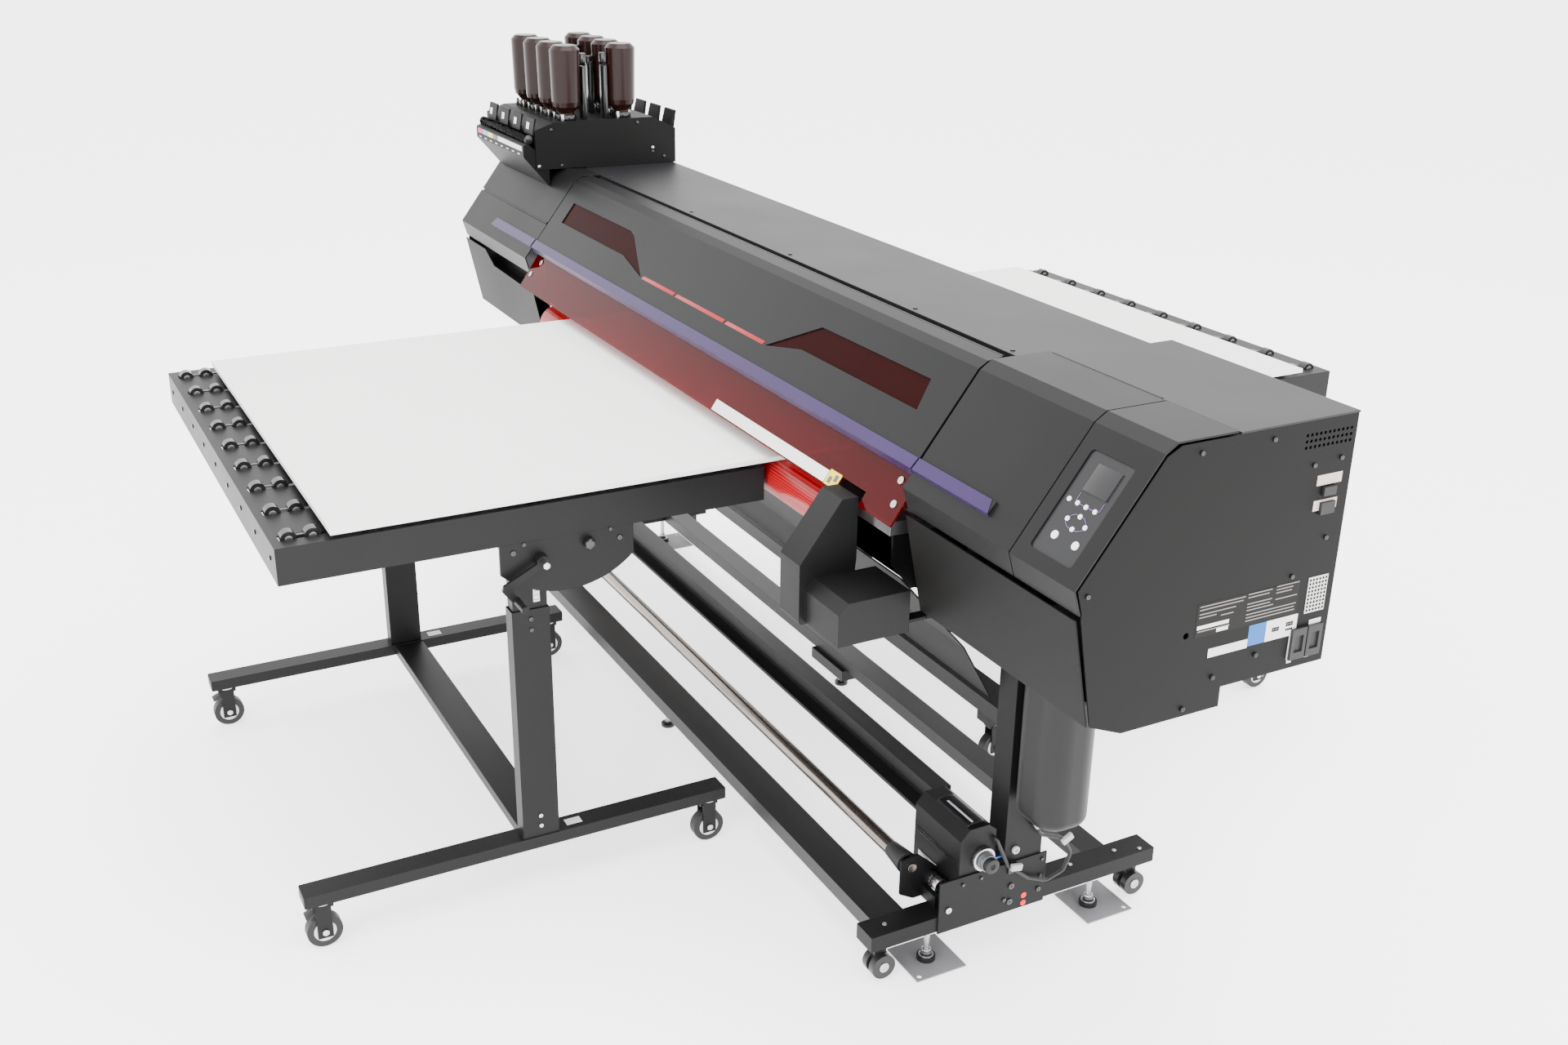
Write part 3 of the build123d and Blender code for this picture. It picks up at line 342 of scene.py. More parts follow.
dress(coat("board_white", (0.80, 0.785, 0.765), rough=0.55, bloom=0.02, bump=0.03, fold=0.0008),
      "media_board")


# ---------------------------------------------------------------- roll bar
# A turned and ground steel tube with the long fine scratches of the lathe, warm grey in the light.
def grained(name, colour, rough, along, metal=1.0, bloom=0.3, scale=60.0):
    """Metal or plastic with fine lines along or across: a stretched noise drives tint, gloss and bump."""
    made = coat(name, colour, rough=rough, metal=metal, bloom=bloom, bump=0.05)
    tree = made.node_tree
    stretch = tree.nodes.new("ShaderNodeMapping")
    stretch.inputs["Scale"].default_value = along
    lines = tree.nodes.new("ShaderNodeTexNoise")
    lines.inputs["Scale"].default_value = scale
    lines.inputs["Detail"].default_value = 3.0
    place = next(n for n in tree.nodes if n.bl_idname == "ShaderNodeTexCoord")
    sheen = next(n for n in tree.nodes if n.bl_idname == "ShaderNodeMapRange")
    ramp = next(n for n in tree.nodes if n.bl_idname == "ShaderNodeValToRGB")
    tree.links.new(place.outputs["Object"], stretch.inputs["Vector"])
    tree.links.new(stretch.outputs["Vector"], lines.inputs["Vector"])
    tree.links.new(lines.outputs["Fac"], sheen.inputs["Value"])
    tree.links.new(lines.outputs["Fac"], ramp.inputs["Fac"])
    return made


bar_metal = grained("bar_metal", (0.30, 0.265, 0.24), 0.24, (0.05, 9, 9), bloom=0.12)
dress(bar_metal, "roll_bar")

# ---------------------------------------------------------------- media guide in red light
# The curved guide in front of the platen, with fine ribs along its length. Its red colour is painted red
# light that falls through the ruby shade, and the dark and light bands are painted shade and light on the
# ribs.
# Red base colour: painted red light from the ruby shade.
guide_painted_red_light = coat("guide_painted_red_light", (0.30, 0.004, 0.007), rough=0.30, bloom=0.2, glow=0.4, fold=0)
# Wave bands along the ribs: painted shade and light on them.
rib_shade_bands = guide_painted_red_light.node_tree.nodes.new("ShaderNodeTexWave")
rib_shade_bands.bands_direction = "Z"
rib_shade_bands.inputs["Scale"].default_value = 60.0
guide_place = next(n for n in guide_painted_red_light.node_tree.nodes if n.bl_idname == "ShaderNodeTexCoord")
guide_ramp = next(n for n in guide_painted_red_light.node_tree.nodes if n.bl_idname == "ShaderNodeValToRGB")
guide_painted_red_light.node_tree.links.new(guide_place.outputs["Object"], rib_shade_bands.inputs["Vector"])
guide_painted_red_light.node_tree.links.new(rib_shade_bands.outputs["Fac"], guide_ramp.inputs["Fac"])
guide_ramp.color_ramp.elements[0].color = (0.16, 0.002, 0.004, 1)
guide_ramp.color_ramp.elements[1].color = (0.36, 0.006, 0.009, 1)
dress(guide_painted_red_light, "platen_guide")

# ---------------------------------------------------------------- key panel
# A sunk membrane panel with a smoked display window, white rubber keys and thin purple guide lines
# printed between them.
dress(coat("panel_black", (0.010, 0.010, 0.011), rough=0.34, bump=0.05), "keypad_panel")
key_rubber = coat("key_rubber", (0.72, 0.70, 0.74), rough=0.42, bloom=0.05, bump=0.04, fold=0.0006)
dress(key_rubber, "key_select", "key_f1", "key_f2", "key_f3", "key_up", "key_left", "key_right", "key_down",
      "key_power", "key_enter")
smoked = coat("smoked_window", (0.004, 0.004, 0.005), rough=0.12, bloom=0.1, bump=0.01, glow=0.5, fold=0)
display_glass = cube_piece("display_glass", (-0.0305, -0.0255, 0), (0.0305, 0.0255, 0.0006), 0.0002)
on_slope(display_glass, 1.486, 0.084, -0.0015)
settle(display_glass, smoked, "printer")

line_purple = coat("line_purple", (0.16, 0.07, 0.24), rough=0.5, bloom=0.1, grain=500, bump=0.02, fold=0)


def printed_line(name, start, end, width=0.0011):
    """A thin printed line on the key panel between two (x, down) points."""
    (xa, da), (xb, db) = start, end
    length, turn = math.hypot(xb - xa, db - da), math.atan2(-(db - da), xb - xa)
    line = cube_piece(name, (-length / 2, -width / 2, 0), (length / 2, width / 2, 0.0004), 0.0001, 1)
    line.data.transform(Matrix.Rotation(turn, 4, "Z"))
    on_slope(line, (xa + xb) / 2, (da + db) / 2, -0.003)
    return settle(line, line_purple, "printer")


hexagon = ((1.4665, 0.1545), (1.4740, 0.1495), (1.4960, 0.1495), (1.5060, 0.1560), (1.5080, 0.1680),
           (1.4960, 0.1745), (1.4740, 0.1745), (1.4625, 0.1690))
for k in range(8):
    printed_line(f"panel_hexagon_{k}", hexagon[k], hexagon[(k + 1) % 8])
bracket = ((1.4560, 0.1145), (1.4560, 0.1285), (1.4620, 0.1320), (1.5090, 0.1320), (1.5160, 0.1285),
           (1.5160, 0.1145))
for k in range(5):
    printed_line(f"panel_bracket_{k}", bracket[k], bracket[k + 1])

# ---------------------------------------------------------------- side panel labels and plates
# Printed film labels, blank here, stuck on the side panel; a bright zinc grille plate over it whose round
# holes are dark discs of painted shade; and the formed bracket round the two mains inlets.
label_white = coat("label_white", (0.66, 0.64, 0.64), rough=0.55, bloom=0.08, grain=500, bump=0.03, fold=0)
label_grey = coat("label_grey", (0.15, 0.145, 0.14), rough=0.5, bloom=0.1, grain=500, bump=0.03, fold=0)
label_dark = coat("label_dark", (0.007, 0.006, 0.0055), rough=0.5, glow=0.12, bloom=0.2, grain=400,
                  bump=0.03, fold=0)
label_blue = coat("label_blue", (0.004, 0.10, 0.33), rough=0.45, bloom=0.1, grain=500, bump=0.03, fold=0)
label_pink = coat("label_pink", (0.50, 0.42, 0.39), rough=0.5, bloom=0.08, grain=500, bump=0.03, fold=0)


def side_label(name, y0, y1, z0, z1, material, lift=0.0):
    """A thin film on the side panel between two heights."""
    label = cube_piece(name, (side_x + lift, y0, z0), (side_x + lift + 0.0004, y1, z1), 0.0001, 1)
    return settle(label, material, "printer")


side_label("rating_field", -0.025, 0.204, 0.926, 0.988, label_dark)
side_label("serial_strip", 0.010, 0.098, 0.882, 0.899, label_white)
side_label("energy_mark", 0.098, 0.138, 0.884, 0.924, label_blue)
side_label("code_label", 0.138, 0.210, 0.884, 0.924, label_white, lift=0.0001)
side_label("small_strip", -0.022, 0.048, 0.941, 0.948, label_white, lift=0.0005)
side_label("small_mark", 0.022, 0.048, 0.929, 0.936, label_white, lift=0.0005)
for k, (y0, y1, z) in enumerate((
        (-0.020, 0.080, 0.982), (-0.020, 0.076, 0.976), (0.086, 0.140, 0.984), (0.086, 0.134, 0.978),
        (0.150, 0.202, 0.986), (0.150, 0.188, 0.980), (0.150, 0.186, 0.974), (0.150, 0.200, 0.962),
        (0.086, 0.142, 0.966), (0.086, 0.138, 0.960), (0.086, 0.146, 0.954), (-0.020, 0.060, 0.968),
        (-0.020, 0.018, 0.962), (0.028, 0.056, 0.958), (-0.020, 0.050, 0.936), (0.086, 0.200, 0.946),
        (0.086, 0.196, 0.940), (0.086, 0.198, 0.934))):
    side_label(f"rating_rule_{k}", y0, y1, z, z + 0.0022, label_grey, lift=0.0005)
for k, y in enumerate((0.152, 0.184)):
    for row in range(4):
        for column in range(4):
            if (row * 5 + column * 3 + k) % 3:
                square_y, square_z = y + column * 0.0042, 0.896 + row * 0.0042
                side_label(f"code_{k}_{row}{column}", square_y, square_y + 0.0036, square_z,
                           square_z + 0.0036,
                           label_dark, lift=0.0006)
side_label("upper_port_label", 0.209, 0.266, 1.161, 1.180, label_pink)
side_label("lower_port_label", 0.208, 0.262, 1.115, 1.134, label_pink)
side_label("inlet_label", 0.240, 0.268, 0.893, 0.905, label_white)

grille_plate = cube_piece("grille_plate", (side_x, 0.224, 0.920), (side_x + 0.0009, 0.270, 0.989),
                          0.0003, 1)
bpy.ops.object.select_all(action="DESELECT")
# Dark discs on the plate stand for its holes: painted shade where the holes are.
for row in range(9):
    for column in range(6):
        spot_y = 0.2285 + column * 0.0074 + (row % 2) * 0.0
        dot = facing(disc_piece(f"grille_hole_shade_{row}_{column}", 0.0025, 0.0003, 0.0001, sides=12),
                     (side_x + 0.0009, spot_y, 0.9255 + row * 0.0072), (1, 0, 0))
        settle(dot, label_dark, "printer")
settle(grille_plate,
       coat("bright_zinc", (0.50, 0.49, 0.48), rough=0.34, metal=0.85, bloom=0.15, bump=0.04, fold=0),
       "printer")

inlet_zinc = coat("inlet_zinc", (0.50, 0.49, 0.48), rough=0.36, metal=0.8, bloom=0.15, bump=0.04)
inlet_plate = cube_piece("inlet_plate", (side_x, 0.196, 0.836), (side_x + 0.0012, 0.272, 0.890), 0.0004)
settle(inlet_plate, inlet_zinc, "printer")
for k, (y, z) in enumerate(((0.198, 0.829), (0.240, 0.832))):
    ear = cube_piece(f"inlet_ear_{k}", (side_x, y, z), (side_x + 0.0012, y + 0.011, z + 0.012), 0.0004)
    settle(ear, inlet_zinc, "printer")
for k, (y, z) in enumerate(((0.120, 0.864), (0.026, 0.842), (-0.034, 0.795))):
    stud = facing(pan_screw(f"low_screw_{k}", 0.0050, 0.0040), (side_x, y, z), (1, 0, 0))
    settle(stud, tyre_black, "printer")

# ---------------------------------------------------------------- ink unit
# Eight blow-moulded bottles of dark brown plastic stand neck down in a sheet casing. Black holders
# with levers stand between the rows, and a colour strip runs along the front tray.
bottle_brown = coat("bottle_brown", (0.0110, 0.0030, 0.0022), rough=0.26, grain=90.0, bump=0.02, bloom=0.3,
                    glow=0.2,
                    fold=0)
dress(bottle_brown, "ink_bottles")
gloss_black = coat("gloss_black", (0.006, 0.006, 0.007), rough=0.18, grain=300.0, bump=0.03, glow=0.6)
clip_silver = coat("clip_silver", (0.55, 0.53, 0.52), rough=0.25, metal=1.0, bump=0.03, bloom=0.2)
unit_low, unit_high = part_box("ink_housing")
bottle_places = [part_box("ink_bottles")[1].x - 0.044 - k * 0.109 for k in range(4)]


def placed_box(name, low, high, edge, material, body="printer", segments=2):
    """A bevelled block between two corners with its material and body."""
    return settle(cube_piece(name, low, high, edge, segments), material, body)


for row, row_y in enumerate((-0.085, 0.087)):
    toward = 1 if row_y < 0 else -1
    for k, x in enumerate(bottle_places):
        collar = facing(disc_piece(f"neck_collar_{row}_{k}", 0.029, 0.016, 0.002, sides=32, ring=0.84),
                        (x, row_y, unit_high.z), (0, 0, 1))
        settle(collar, gloss_black, "printer")
        for side in (-1, 1):
            placed_box(f"neck_clip_{row}_{k}_{(side + 1) // 2}",
                       (x + side * 0.031 - 0.004, row_y - 0.028, unit_high.z),
                       (x + side * 0.031 + 0.004, row_y - 0.020,
                        unit_high.z + 0.020), 0.001, clip_silver)
        near, far = sorted((row_y + toward * 0.047, row_y + toward * 0.059))
        placed_box(f"bottle_holder_{row}_{k}", (x - 0.016, near, unit_high.z),
                   (x + 0.016, far, unit_high.z + 0.150),
                   0.002, gloss_black)
        near, far = sorted((row_y + toward * 0.045, row_y + toward * 0.063))
        placed_box(f"bottle_lever_{row}_{k}", (x - 0.010, near, unit_high.z + 0.158 - 0.02 * (k % 2)),
                   (x + 0.010, far,
                    unit_high.z + 0.186 - 0.02 * (k % 2)), 0.003, gloss_black)

tray_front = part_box("ink_front_tray")[0].y
strip_start, strip_end = unit_low.x + 0.020, unit_high.x - 0.016
inks = (("magenta", (0.55, 0.05, 0.16)), ("cyan", (0.05, 0.38, 0.66)), ("yellow", (0.75, 0.58, 0.05)),
        ("grey", (0.10, 0.10, 0.11)))
for k, (name, colour) in enumerate(inks):
    placed_box(f"ink_colour_{name}", (strip_start + k * 0.047, tray_front - 0.0006, 1.3435),
               (strip_start + k * 0.047 + 0.045, tray_front, 1.3575), 0.0002,
               coat(f"ink_{name}", colour, rough=0.5, bloom=0.06, grain=500, bump=0.03,
                    fold=0))
placed_box("ink_colour_white", (strip_start + 0.188, tray_front - 0.0006, 1.3435),
           (strip_end, tray_front, 1.3575), 0.0002,
           label_white)
for k in range(8):
    dash_x = strip_start + 0.010 + k * 0.050
    placed_box(f"tray_dash_{k}", (dash_x, tray_front - 0.0005, 1.3315),
               (dash_x + 0.020, tray_front, 1.3345), 0.0002,
               label_white)
for k, x in enumerate(bottle_places):
    tab_label = cube_piece(f"tab_label_{k}", (-0.011, -0.0095, 0), (0.011, 0.0095, 0.0005), 0.0002)
    turn = Matrix((Vector((1, 0, 0)), Vector((0, 0.168, 0.986)),
                   Vector((0, -0.986, 0.168)))).transposed().to_4x4()
    tab_label.data.transform(Matrix.Translation((x - 0.012, -0.2005, 1.4098)) @ turn)
    settle(tab_label, label_white, "printer")
roll = facing(disc_piece("tray_roll", 0.0135, strip_end - strip_start + 0.012, 0.002, sides=40),
              (strip_start - 0.006, -0.2145, 1.3755), (1, 0, 0))
settle(roll, gloss_black, "printer")
for k, (y, z) in enumerate((
        (0.168, 1.333), (0.168, 1.321), (-0.190, 1.300), (-0.120, 1.298), (0.205, 1.305),
        (-0.150, 1.402), (0.120, 1.409))):
    head = facing(pan_screw(f"ink_screw_{k}", 0.0048, 0.003), (unit_high.x, y, z), (1, 0, 0))
    settle(head, zinc if k in (0, 2) else gloss_black, "printer")

# ---------------------------------------------------------------- feet, pads and casters of the stand
# Grey painted floor plates, black rubber levelling pads on zinc studs, and the small twin casters
# parked under the foot ends: the CAD faces take their material by height and place.
feet = nodes["stand_feet"]
feet_slots = (coat("floor_plate_grey", (0.17, 0.17, 0.178), rough=0.48, grain=500.0),
              coat("pad_rubber", (0.009, 0.009, 0.010), rough=0.38, bump=0.1),
              coat("stud_zinc", (0.45, 0.45, 0.46), rough=0.3, metal=1.0, bump=0.04),
              coat("twin_wheel", (0.014, 0.014, 0.015), rough=0.32, bump=0.1))
feet.data.materials.clear()
for material in feet_slots:
    feet.data.materials.append(material)
place = feet.matrix_world
foot_middles = (-1.219, 1.081)
for face in feet.data.polygons:
    spot = place @ face.center
    beside = min(abs(spot.x - middle) for middle in foot_middles)
    if spot.z < 0.0031 and abs(spot.x + 0.067) > 0.2 and abs(spot.y - 0.015) < 0.30:
        face.material_index = 0
    elif abs(abs(spot.y - 0.015) - 0.325) < 0.035 and beside < 0.025:
        face.material_index = 3
    elif spot.z > 0.0205 or (spot.z > 0.0135 and abs(spot.x + 0.067) < 0.2):
        face.material_index = 2
    else:
        face.material_index = 1
for k, middle in enumerate(foot_middles):
    for row, pad_y in enumerate((-0.194, 0.230)):
        nut = facing(disc_piece(f"level_nut_{k}_{row}", 0.0105, 0.007, 0.0008, sides=6),
                     (middle, pad_y, 0.0215), (0, 0, 1))
        settle(nut, zinc, "printer")
        washer = facing(disc_piece(f"level_ring_{k}_{row}", 0.0155, 0.0022, 0.0006, sides=28, ring=0.7),
                        (middle, pad_y, 0.0130), (0, 0, 1))
        settle(washer, zinc, "printer")
    for way in (-1, 1):
        for side in (-1, 1):
            cap = facing(disc_piece(f"twin_cap_{k}_{(way + 1) // 2}_{(side + 1) // 2}", 0.011, 0.002,
                                    0.0006, ring=0.6),
                         (middle + side * 0.021, 0.015 + way * 0.325, 0.033), (side, 0, 0))
            settle(cap, zinc, "printer")

# ---------------------------------------------------------------- outer plates and bolts of the stand
# Black button-head bolts hold the outer plates to the feet; two red paint marks show the aligned
# pair, and zinc screw heads sit on the foot's top.
face_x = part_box("stand_frames")[1].x
for k, z in enumerate((0.112, 0.093)):
    dot = facing(disc_piece(f"red_mark_{k}", 0.0070, 0.0009, 0.0003), (face_x, 0.023, z), (1, 0, 0))
    settle(dot, coat(f"red_paint_{k}", (0.72, 0.010, 0.012), rough=0.5, bloom=0.1, bump=0.05, fold=0),
           "printer")
for k, (y, z, radius) in enumerate((
        (-0.135, 0.187, 0.0040), (-0.090, 0.190, 0.0040), (-0.012, 0.146, 0.0075),
        (-0.014, 0.108, 0.0075), (-0.028, 0.116, 0.0050), (0.060, 0.117, 0.0060),
        (0.062, 0.150, 0.0040), (0.064, 0.190, 0.0040))):
    bolt = facing(pan_screw(f"plate_bolt_{k}", radius, 0.0030), (face_x, y, z), (1, 0, 0))
    settle(bolt, gloss_black, "printer")
bolt = facing(pan_screw("plate_zinc_0", 0.0075, 0.0035), (face_x, -0.168, 0.135), (1, 0, 0))
settle(bolt, zinc, "printer")
foot_top = 0.122
for k, (x, y) in enumerate((
        (1.081, 0.290), (1.081, 0.170), (1.081, -0.300), (1.100, 0.345), (-1.219, 0.290),
        (-1.219, -0.300))):
    head = facing(pan_screw(f"foot_screw_{k}", 0.0050, 0.0022), (x, y, foot_top), (0, 0, 1))
    settle(head, zinc, "printer")

# ---------------------------------------------------------------- take-up drive
# A tall pressed housing with a rounded glossy ridge, a hand knob behind a bright ring nut, and a
# zinc roller, a rubber roller and a clamp knob in front of it.
unit_x0, unit_x1 = 0.941, 1.1105
ridge = outline_piece("takeup_ridge",
                      [(-0.1215, 0.3118), (-0.1180, 0.3160), (-0.1110, 0.3180), (-0.0870, 0.3180),
                                       (-0.0800, 0.3160), (-0.0770,
                                                           0.3118)], unit_x0 + 0.045, unit_x1 - 0.012)
settle(ridge, gloss_black, "printer")
# Two thin white strips along the ridge's front shoulder: painted highlights of its gloss.
for k, y in enumerate((-0.1085, -0.1055)):
    ridge_highlight = cube_piece(f"ridge_highlight_{k}", (unit_x0 + 0.062, y - 0.0006, 0.3178),
                            (unit_x1 - 0.016, y + 0.0006, 0.3186),
                            0.0002, 1)
    settle(ridge_highlight, label_white, "printer")
for k, z in enumerate((0.2350, 0.2290)):
    ledge = cube_piece(f"takeup_ledge_{k}", (unit_x0 + 0.004, -0.1452, z),
                       (unit_x1 - 0.002, -0.1438, z + 0.0016),
                       0.0004, 1)
    settle(ledge, gloss_black, "printer")
collar = facing(disc_piece("knob_ring", 0.0265, 0.012, 0.0016, sides=40, ring=0.86),
                (unit_x1, -0.090, 0.238), (1, 0, 0))
settle(collar, clip_silver, "printer")
coupling = facing(disc_piece("knob_coupling", 0.0195, 0.022, 0.0012, sides=14),
                  (unit_x1 + 0.0065, -0.090, 0.238), (1, 0, 0))
settle(coupling, coat("smoke_nylon", (0.075, 0.080, 0.085), rough=0.28, bloom=0.3, glow=0.6, bump=0.04),
       "printer")
knob = facing(disc_piece("knob_cap", 0.0168, 0.0135, 0.002, sides=28, ring=0.5),
              (unit_x1 + 0.0275, -0.090, 0.238),
              (1, 0, 0))
settle(knob, tyre_black, "printer")
window = cube_piece("gear_window", (0.960, -0.1455, 0.150), (1.030, -0.1440, 0.186), 0.0006)
settle(window, clip_silver, "printer")
for k, (x, z, radius) in enumerate(((0.972, 0.160, 0.011), (1.004, 0.171, 0.007), (1.020, 0.156, 0.007))):
    boss = facing(disc_piece(f"gear_boss_{k}", radius, 0.004, 0.0008, ring=0.55), (x, -0.1455, z),
                  (0, -1, 0))
    settle(boss, gloss_black, "printer")
front_roller = facing(disc_piece("nip_roller", 0.0165, 0.022, 0.0015, sides=32), (1.0560, -0.163, 0.168),
                      (1, 0, 0))
settle(front_roller, clip_silver, "printer")
rubber_roller = facing(disc_piece("nip_rubber", 0.0160, 0.028, 0.0015, sides=32), (1.0270, -0.163, 0.168),
                       (1, 0, 0))
settle(rubber_roller, gloss_black, "printer")
clamp = facing(disc_piece("bar_clamp_knob", 0.0135, 0.016, 0.003, sides=10, ring=0.45),
               (0.981, -0.158, 0.100),
               (-0.4, -0.9, 0))
settle(clamp, gloss_black, "printer")

# ---------------------------------------------------------------- bar ends
# Black tapered cones close both ends of the roll bar and seat in the brackets.
for k, (x, way) in enumerate(((1.012, -1), (-1.150, 1))):
    cone = disc_piece(f"bar_cone_{k}", 0.0240, 0.060, 0.0015, sides=36)
    for corner in cone.data.vertices:
        if corner.co.z > 0.03:
            corner.co.x *= 0.74
            corner.co.y *= 0.74
    facing(cone, (x, -0.207, 0.200), (way, 0, 0))
    settle(cone, tyre_black, "roll_bar")

# ---------------------------------------------------------------- cable clips
# Grey nylon saddles screwed to the leg hold the loop of the take-up drive's cable.
saddle_grey = coat("saddle_grey", (0.36, 0.36, 0.36), rough=0.45, bloom=0.15, bump=0.06)
for k, (y, z, tilt) in enumerate(((0.041, 0.292, 0.4), (-0.012, 0.200, -0.2), (0.112, 0.236, 0.5))):
    saddle = cube_piece(f"cable_saddle_{k}", (-0.0045, -0.014, -0.0075), (0.0045, 0.014, 0.0075), 0.0018)
    saddle.data.transform(Matrix.Translation((1.1275 if k < 2 else 1.1325, y, z)) @ Matrix.Rotation(tilt, 4,
                                                                                                    "X"))
    settle(saddle, saddle_grey, "printer")
blue_wire = cube_piece("blue_sleeve", (1.1116, -0.058, 0.2265), (1.1156, -0.040, 0.2305), 0.0012)
settle(blue_wire, coat("wire_blue", (0.01, 0.05, 0.42), rough=0.4, bloom=0.1, bump=0.03, fold=0), "printer")
white_gland = facing(disc_piece("cable_gland", 0.009, 0.006, 0.001, sides=20, ring=0.5),
                     (unit_x1, -0.006, 0.232), (1, 0, 0))
settle(white_gland, saddle_grey, "printer")

# ---------------------------------------------------------------- casters of the roller tables
# Each caster has a black tyre, a pale nylon hub, a zinc axle bolt, and on the outer ones a pressed
# steel brake pedal.
hub_pale = coat("hub_pale", (0.52, 0.52, 0.52), rough=0.42, bloom=0.12, bump=0.06)
table_middle = -0.069
for table, pre, way in (("front_table", "front", -1), ("rear_table", "rear", 1)):
    for row, axle_y in (("outer", 1.295), ("inner", 0.406)):
        for side in (-1, 1):
            middle = table_middle + side * 0.529
            for face in (-1, 1):
                tag = f"{pre}_{row}_{(side + 1) // 2}_{(face + 1) // 2}"
                hub = facing(disc_piece(f"hub_{tag}", 0.0235, 0.0012, 0.0004, sides=32, ring=0.62),
                             (middle + face * 0.0120, way * axle_y, 0.0375), (face, 0, 0))
                settle(hub, hub_pale, f"{pre}_wheels_{row}")
                bolt = facing(disc_piece(f"axle_bolt_{tag}", 0.0078, 0.0036, 0.0008, sides=6),
                              (middle + face * 0.0175, way * axle_y, 0.0375), (face, 0, 0))
                settle(bolt, zinc, f"{pre}_wheels_{row}")
            if row == "outer":
                pedal = cube_piece(f"brake_pedal_{pre}_{(side + 1) // 2}", (-0.014, -0.018, -0.0025),
                                   (0.014, 0.018, 0.0025),
                                   0.0012)
                tip = Matrix.Rotation(way * -0.45, 4, "X")
                pedal.data.transform(Matrix.Translation((middle, way * (axle_y + 0.020), 0.0840)) @ tip)
                settle(pedal, tyre_black, f"{pre}_base")
            swivel = facing(disc_piece(f"swivel_{pre}_{row}_{(side + 1) // 2}", 0.021, 0.006, 0.001,
                                       sides=28),
                            (middle, way * axle_y, 0.1045), (0, 0, 1))
            settle(swivel, zinc, f"{pre}_base")

# ---------------------------------------------------------------- bolts, scales and labels of the tables
# Black bolts close the end faces and the quadrant plates; a printed height scale is stuck on each inner
# post, and small labels sit where the cross rail meets the base rails.
for table, pre, way in (("front_table", "front", -1), ("rear_table", "rear", 1)):
    tray_low, tray_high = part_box(f"{table}_tray")
    end_y = tray_low.y if way < 0 else tray_high.y
    for k in range(9):
        x = tray_low.x + 0.050 + k * (tray_high.x - tray_low.x - 0.100) / 8
        bolt = facing(pan_screw(f"{pre}_end_bolt_{k}", 0.0052, 0.0026), (x, end_y, tray_high.z - 0.036),
                      (0, way, 0))
        settle(bolt, gloss_black, f"{pre}_lift")
    for k, (y, z, radius) in enumerate((
            (0.640, 0.840, 0.006), (0.868, 0.846, 0.006), (0.660, 0.862, 0.0045),
            (0.845, 0.861, 0.0045))):
        for side in (-1, 1):
            plate_x = table_middle + side * 0.615
            bolt = facing(pan_screw(f"{pre}_quadrant_bolt_{k}_{(side + 1) // 2}", radius, 0.003),
                          (plate_x, way * y, z),
                          (side, 0, 0))
            settle(bolt, gloss_black, f"{pre}_lift")
    for side in (-1, 1):
        face_at = table_middle + side * 0.5495
        near, far = sorted((face_at, face_at + side * 0.0002))
        scale = cube_piece(f"{pre}_height_scale_{(side + 1) // 2}", (near, way * 0.802 - 0.007, 0.700),
                           (far, way * 0.802 + 0.007, 0.842), 0.00005, 1)
        settle(scale, label_white, f"{pre}_lift")
        near, far = sorted((face_at + side * 0.0002, face_at + side * 0.00035))
        for tick in range(14):
            half, low = (0.0045 if tick % 5 else 0.006), 0.7045 + tick * 0.01
            mark = cube_piece(f"{pre}_scale_tick_{(side + 1) // 2}_{tick}", (near, way * 0.802 - half, low),
                              (far, way * 0.802 + half, low + 0.0012), 0.00005, 1)
            settle(mark, label_dark, f"{pre}_lift")
        rail_x = table_middle + side * 0.529
        tag = cube_piece(f"{pre}_rail_tag_{(side + 1) // 2}", (rail_x - 0.012, way * 0.735 - 0.018, 0.139),
                         (rail_x + 0.012, way * 0.735 + 0.018, 0.1394), 0.0001, 1)
        settle(tag, label_white, f"{pre}_base")
        cap = cube_piece(f"{pre}_rail_cap_{(side + 1) // 2}",
                         (rail_x - 0.0262, min(way * 1.332, way * 1.3335), 0.1118),
                         (rail_x + 0.0262, max(way * 1.332, way * 1.3335), 0.1382), 0.0005)
        settle(cap, tyre_black, f"{pre}_base")
        pinch = facing(disc_piece(f"{pre}_clamp_cap_{(side + 1) // 2}", 0.0118, 0.004, 0.001, sides=6),
                       (table_middle + side * 0.6285, way * 0.710, 0.843), (side, 0, 0))
        settle(pinch, gloss_black, f"{pre}_lift")
        for k, z in enumerate((0.665, 0.640, 0.165, 0.190)):
            stud = facing(pan_screw(f"{pre}_sleeve_bolt_{(side + 1) // 2}_{k}", 0.0050, 0.0028),
                          (table_middle + side * 0.553, way * 0.817, z), (side, 0, 0))
            settle(stud, gloss_black if k < 2 else zinc, f"{pre}_base")
    boss = facing(disc_piece(f"{pre}_crank_bolt", 0.0080, 0.004, 0.0008, sides=6),
                  (0.5835, way * 0.813, 0.824), (1, 0, 0))
    settle(boss, zinc, f"{pre}_crank")

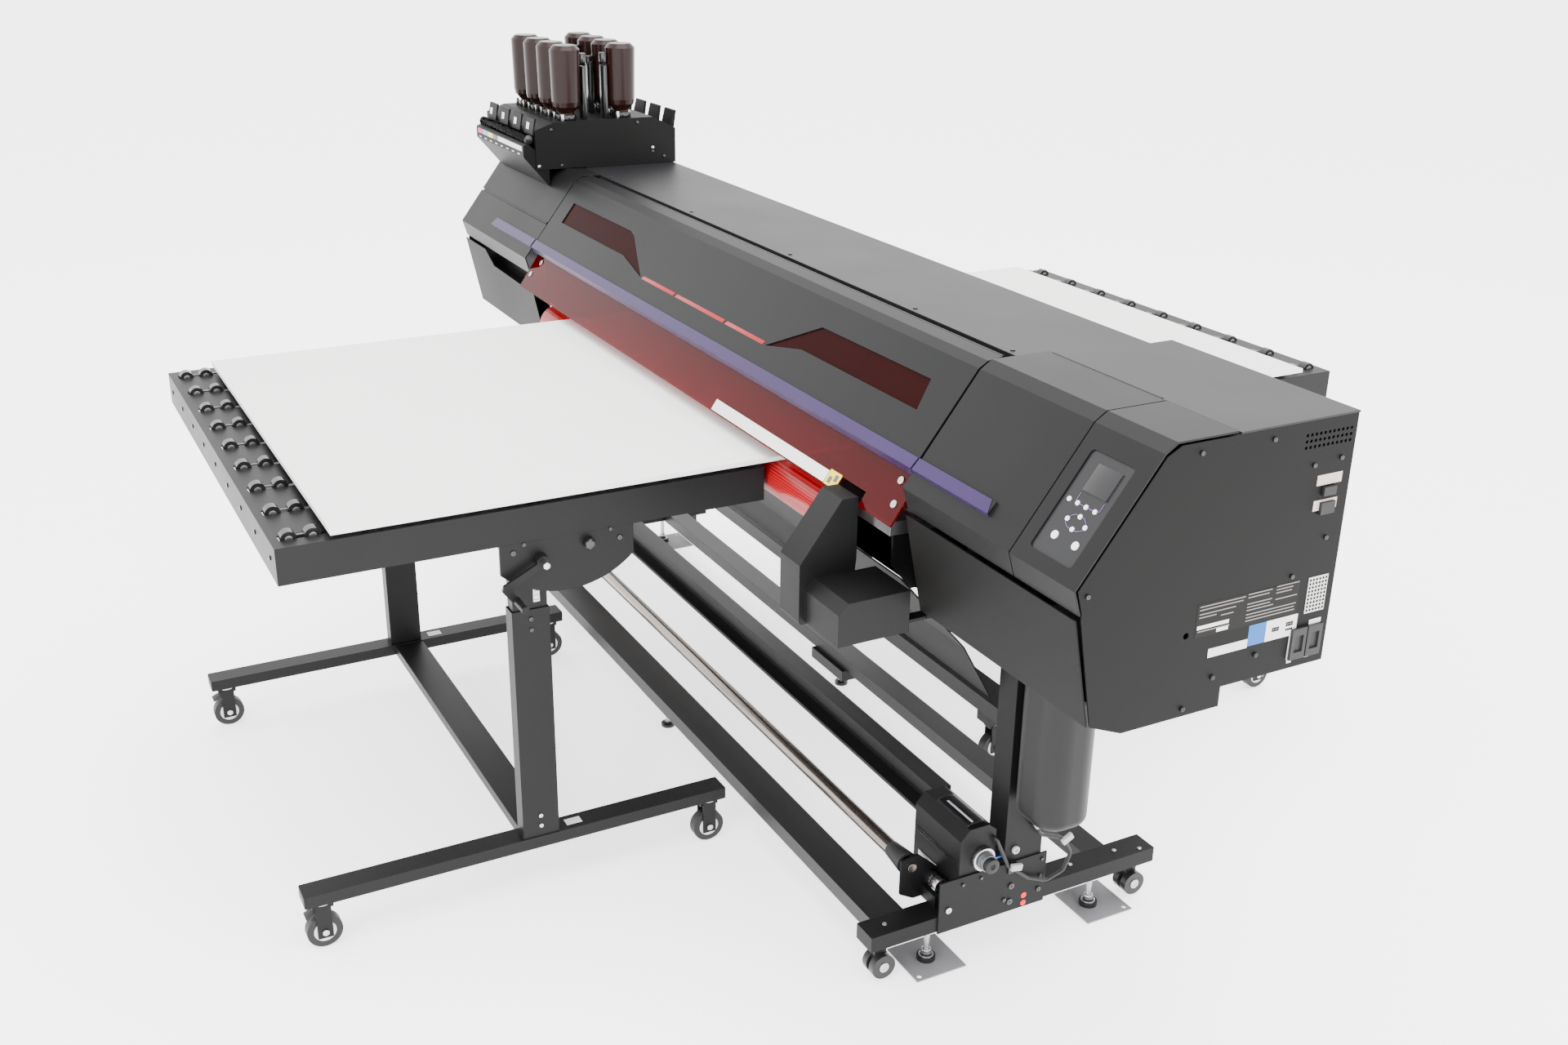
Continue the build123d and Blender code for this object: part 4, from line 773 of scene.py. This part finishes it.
# ---------------------------------------------------------------- skate wheel hubs
# A pressed bearing sits in both faces of every small wheel: a dull zinc disc with a sunk middle,
# modelled once and copied to each wheel of a table.
hub_zinc = coat("hub_zinc", (0.20, 0.20, 0.205), rough=0.32, metal=0.9, bloom=0.2, bump=0.04, fold=0)
for table, pre, way in (("front_table", "front", -1), ("rear_table", "rear", 1)):
    rollers_low, rollers_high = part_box(f"{table}_rollers")
    wheel_z, first_y, last_y = 0.9387, rollers_low.y + 0.016, rollers_high.y - 0.016
    bearing = disc_piece(f"{pre}_wheel_bearings", 0.0080, 0.0010, 0.0003, sides=12, ring=0.55)
    copies = bmesh.new()
    for line in range(9):
        for wheel in range(22):
            for side in (-1, 1):
                spot = Vector((table_middle + (line - 4) * 0.14125 + side * 0.011,
                               first_y + wheel * (last_y - first_y) / 21, wheel_z))
                turn = Vector((side, 0, 0)).to_track_quat("Z", "Y").to_matrix().to_4x4()
                copy = bearing.data.copy()
                copy.transform(Matrix.Translation(spot) @ turn)
                copies.from_mesh(copy)
                bpy.data.meshes.remove(copy)
    copies.to_mesh(bearing.data)
    copies.free()
    settle(bearing, hub_zinc, f"{pre}_lift")


# ---------------------------------------------------------------- floor, light and camera
# A bright white studio: a white floor and walls, one large softbox overhead, one in front and a
# weaker one at the control end, so the black coat shows only soft, broad reflections.
bpy.ops.object.select_all(action="DESELECT")
bpy.ops.mesh.primitive_plane_add(size=60, location=(0, 0, -0.002))
floor = bpy.context.object
floor.name = "studio_floor"
floor_white = bpy.data.materials.new("floor_white")
floor_white.use_nodes = True
floor_white.node_tree.nodes["Principled BSDF"].inputs["Base Color"].default_value = (0.95, 0.95, 0.95, 1)
floor_white.node_tree.nodes["Principled BSDF"].inputs["Roughness"].default_value = 0.9
floor_white.node_tree.nodes["Principled BSDF"].inputs["Emission Color"].default_value = (1, 1, 1, 1)
floor_white.node_tree.nodes["Principled BSDF"].inputs["Emission Strength"].default_value = 1.6
floor.data.materials.append(floor_white)

world = bpy.data.worlds.new("studio")
world.use_nodes = True
world.node_tree.nodes["Background"].inputs["Color"].default_value = (1, 1, 1, 1)
world.node_tree.nodes["Background"].inputs["Strength"].default_value = 3.2
bpy.context.scene.world = world


def softbox(name, place, aim, size, power):
    lamp = bpy.data.lights.new(name, "AREA")
    lamp.shape = "RECTANGLE"
    lamp.size, lamp.size_y = size
    lamp.energy = power
    held = bpy.data.objects.new(name, lamp)
    held.location = place
    held.rotation_euler = (Vector(aim) - Vector(place)).to_track_quat("-Z", "Y").to_euler()
    bpy.context.collection.objects.link(held)


softbox("overhead", (0.5, 0.5, 5.5), (0, 0, 1), (5.0, 5.0), 420)
softbox("front_key", (3.0, -5.0, 3.2), (0, 0, 0.9), (3.5, 2.5), 260)
softbox("side_fill", (6.0, 1.0, 2.0), (0, 0, 0.8), (2.5, 2.5), 80)

yaw, pitch, roll = math.radians(61.65), math.radians(22.18), math.radians(0.888)
ahead = Vector((-math.sin(yaw) * math.cos(pitch), math.cos(yaw) * math.cos(pitch), -math.sin(pitch)))
level = ahead.cross(Vector((0, 0, 1))).normalized()
upright = level.cross(ahead)
across = level * math.cos(roll) + upright * math.sin(roll)
above = upright * math.cos(roll) - level * math.sin(roll)
lens = bpy.data.cameras.new("camera")
lens.sensor_width = 36
lens.lens = 37.0
lens.clip_end = 100
camera = bpy.data.objects.new("camera", lens)
turned = Matrix((across, above, -ahead)).transposed().to_4x4()
camera.matrix_world = Matrix.Translation((3.3837, -1.7897, 2.1182)) @ turned
bpy.context.collection.objects.link(camera)
bpy.context.scene.camera = camera
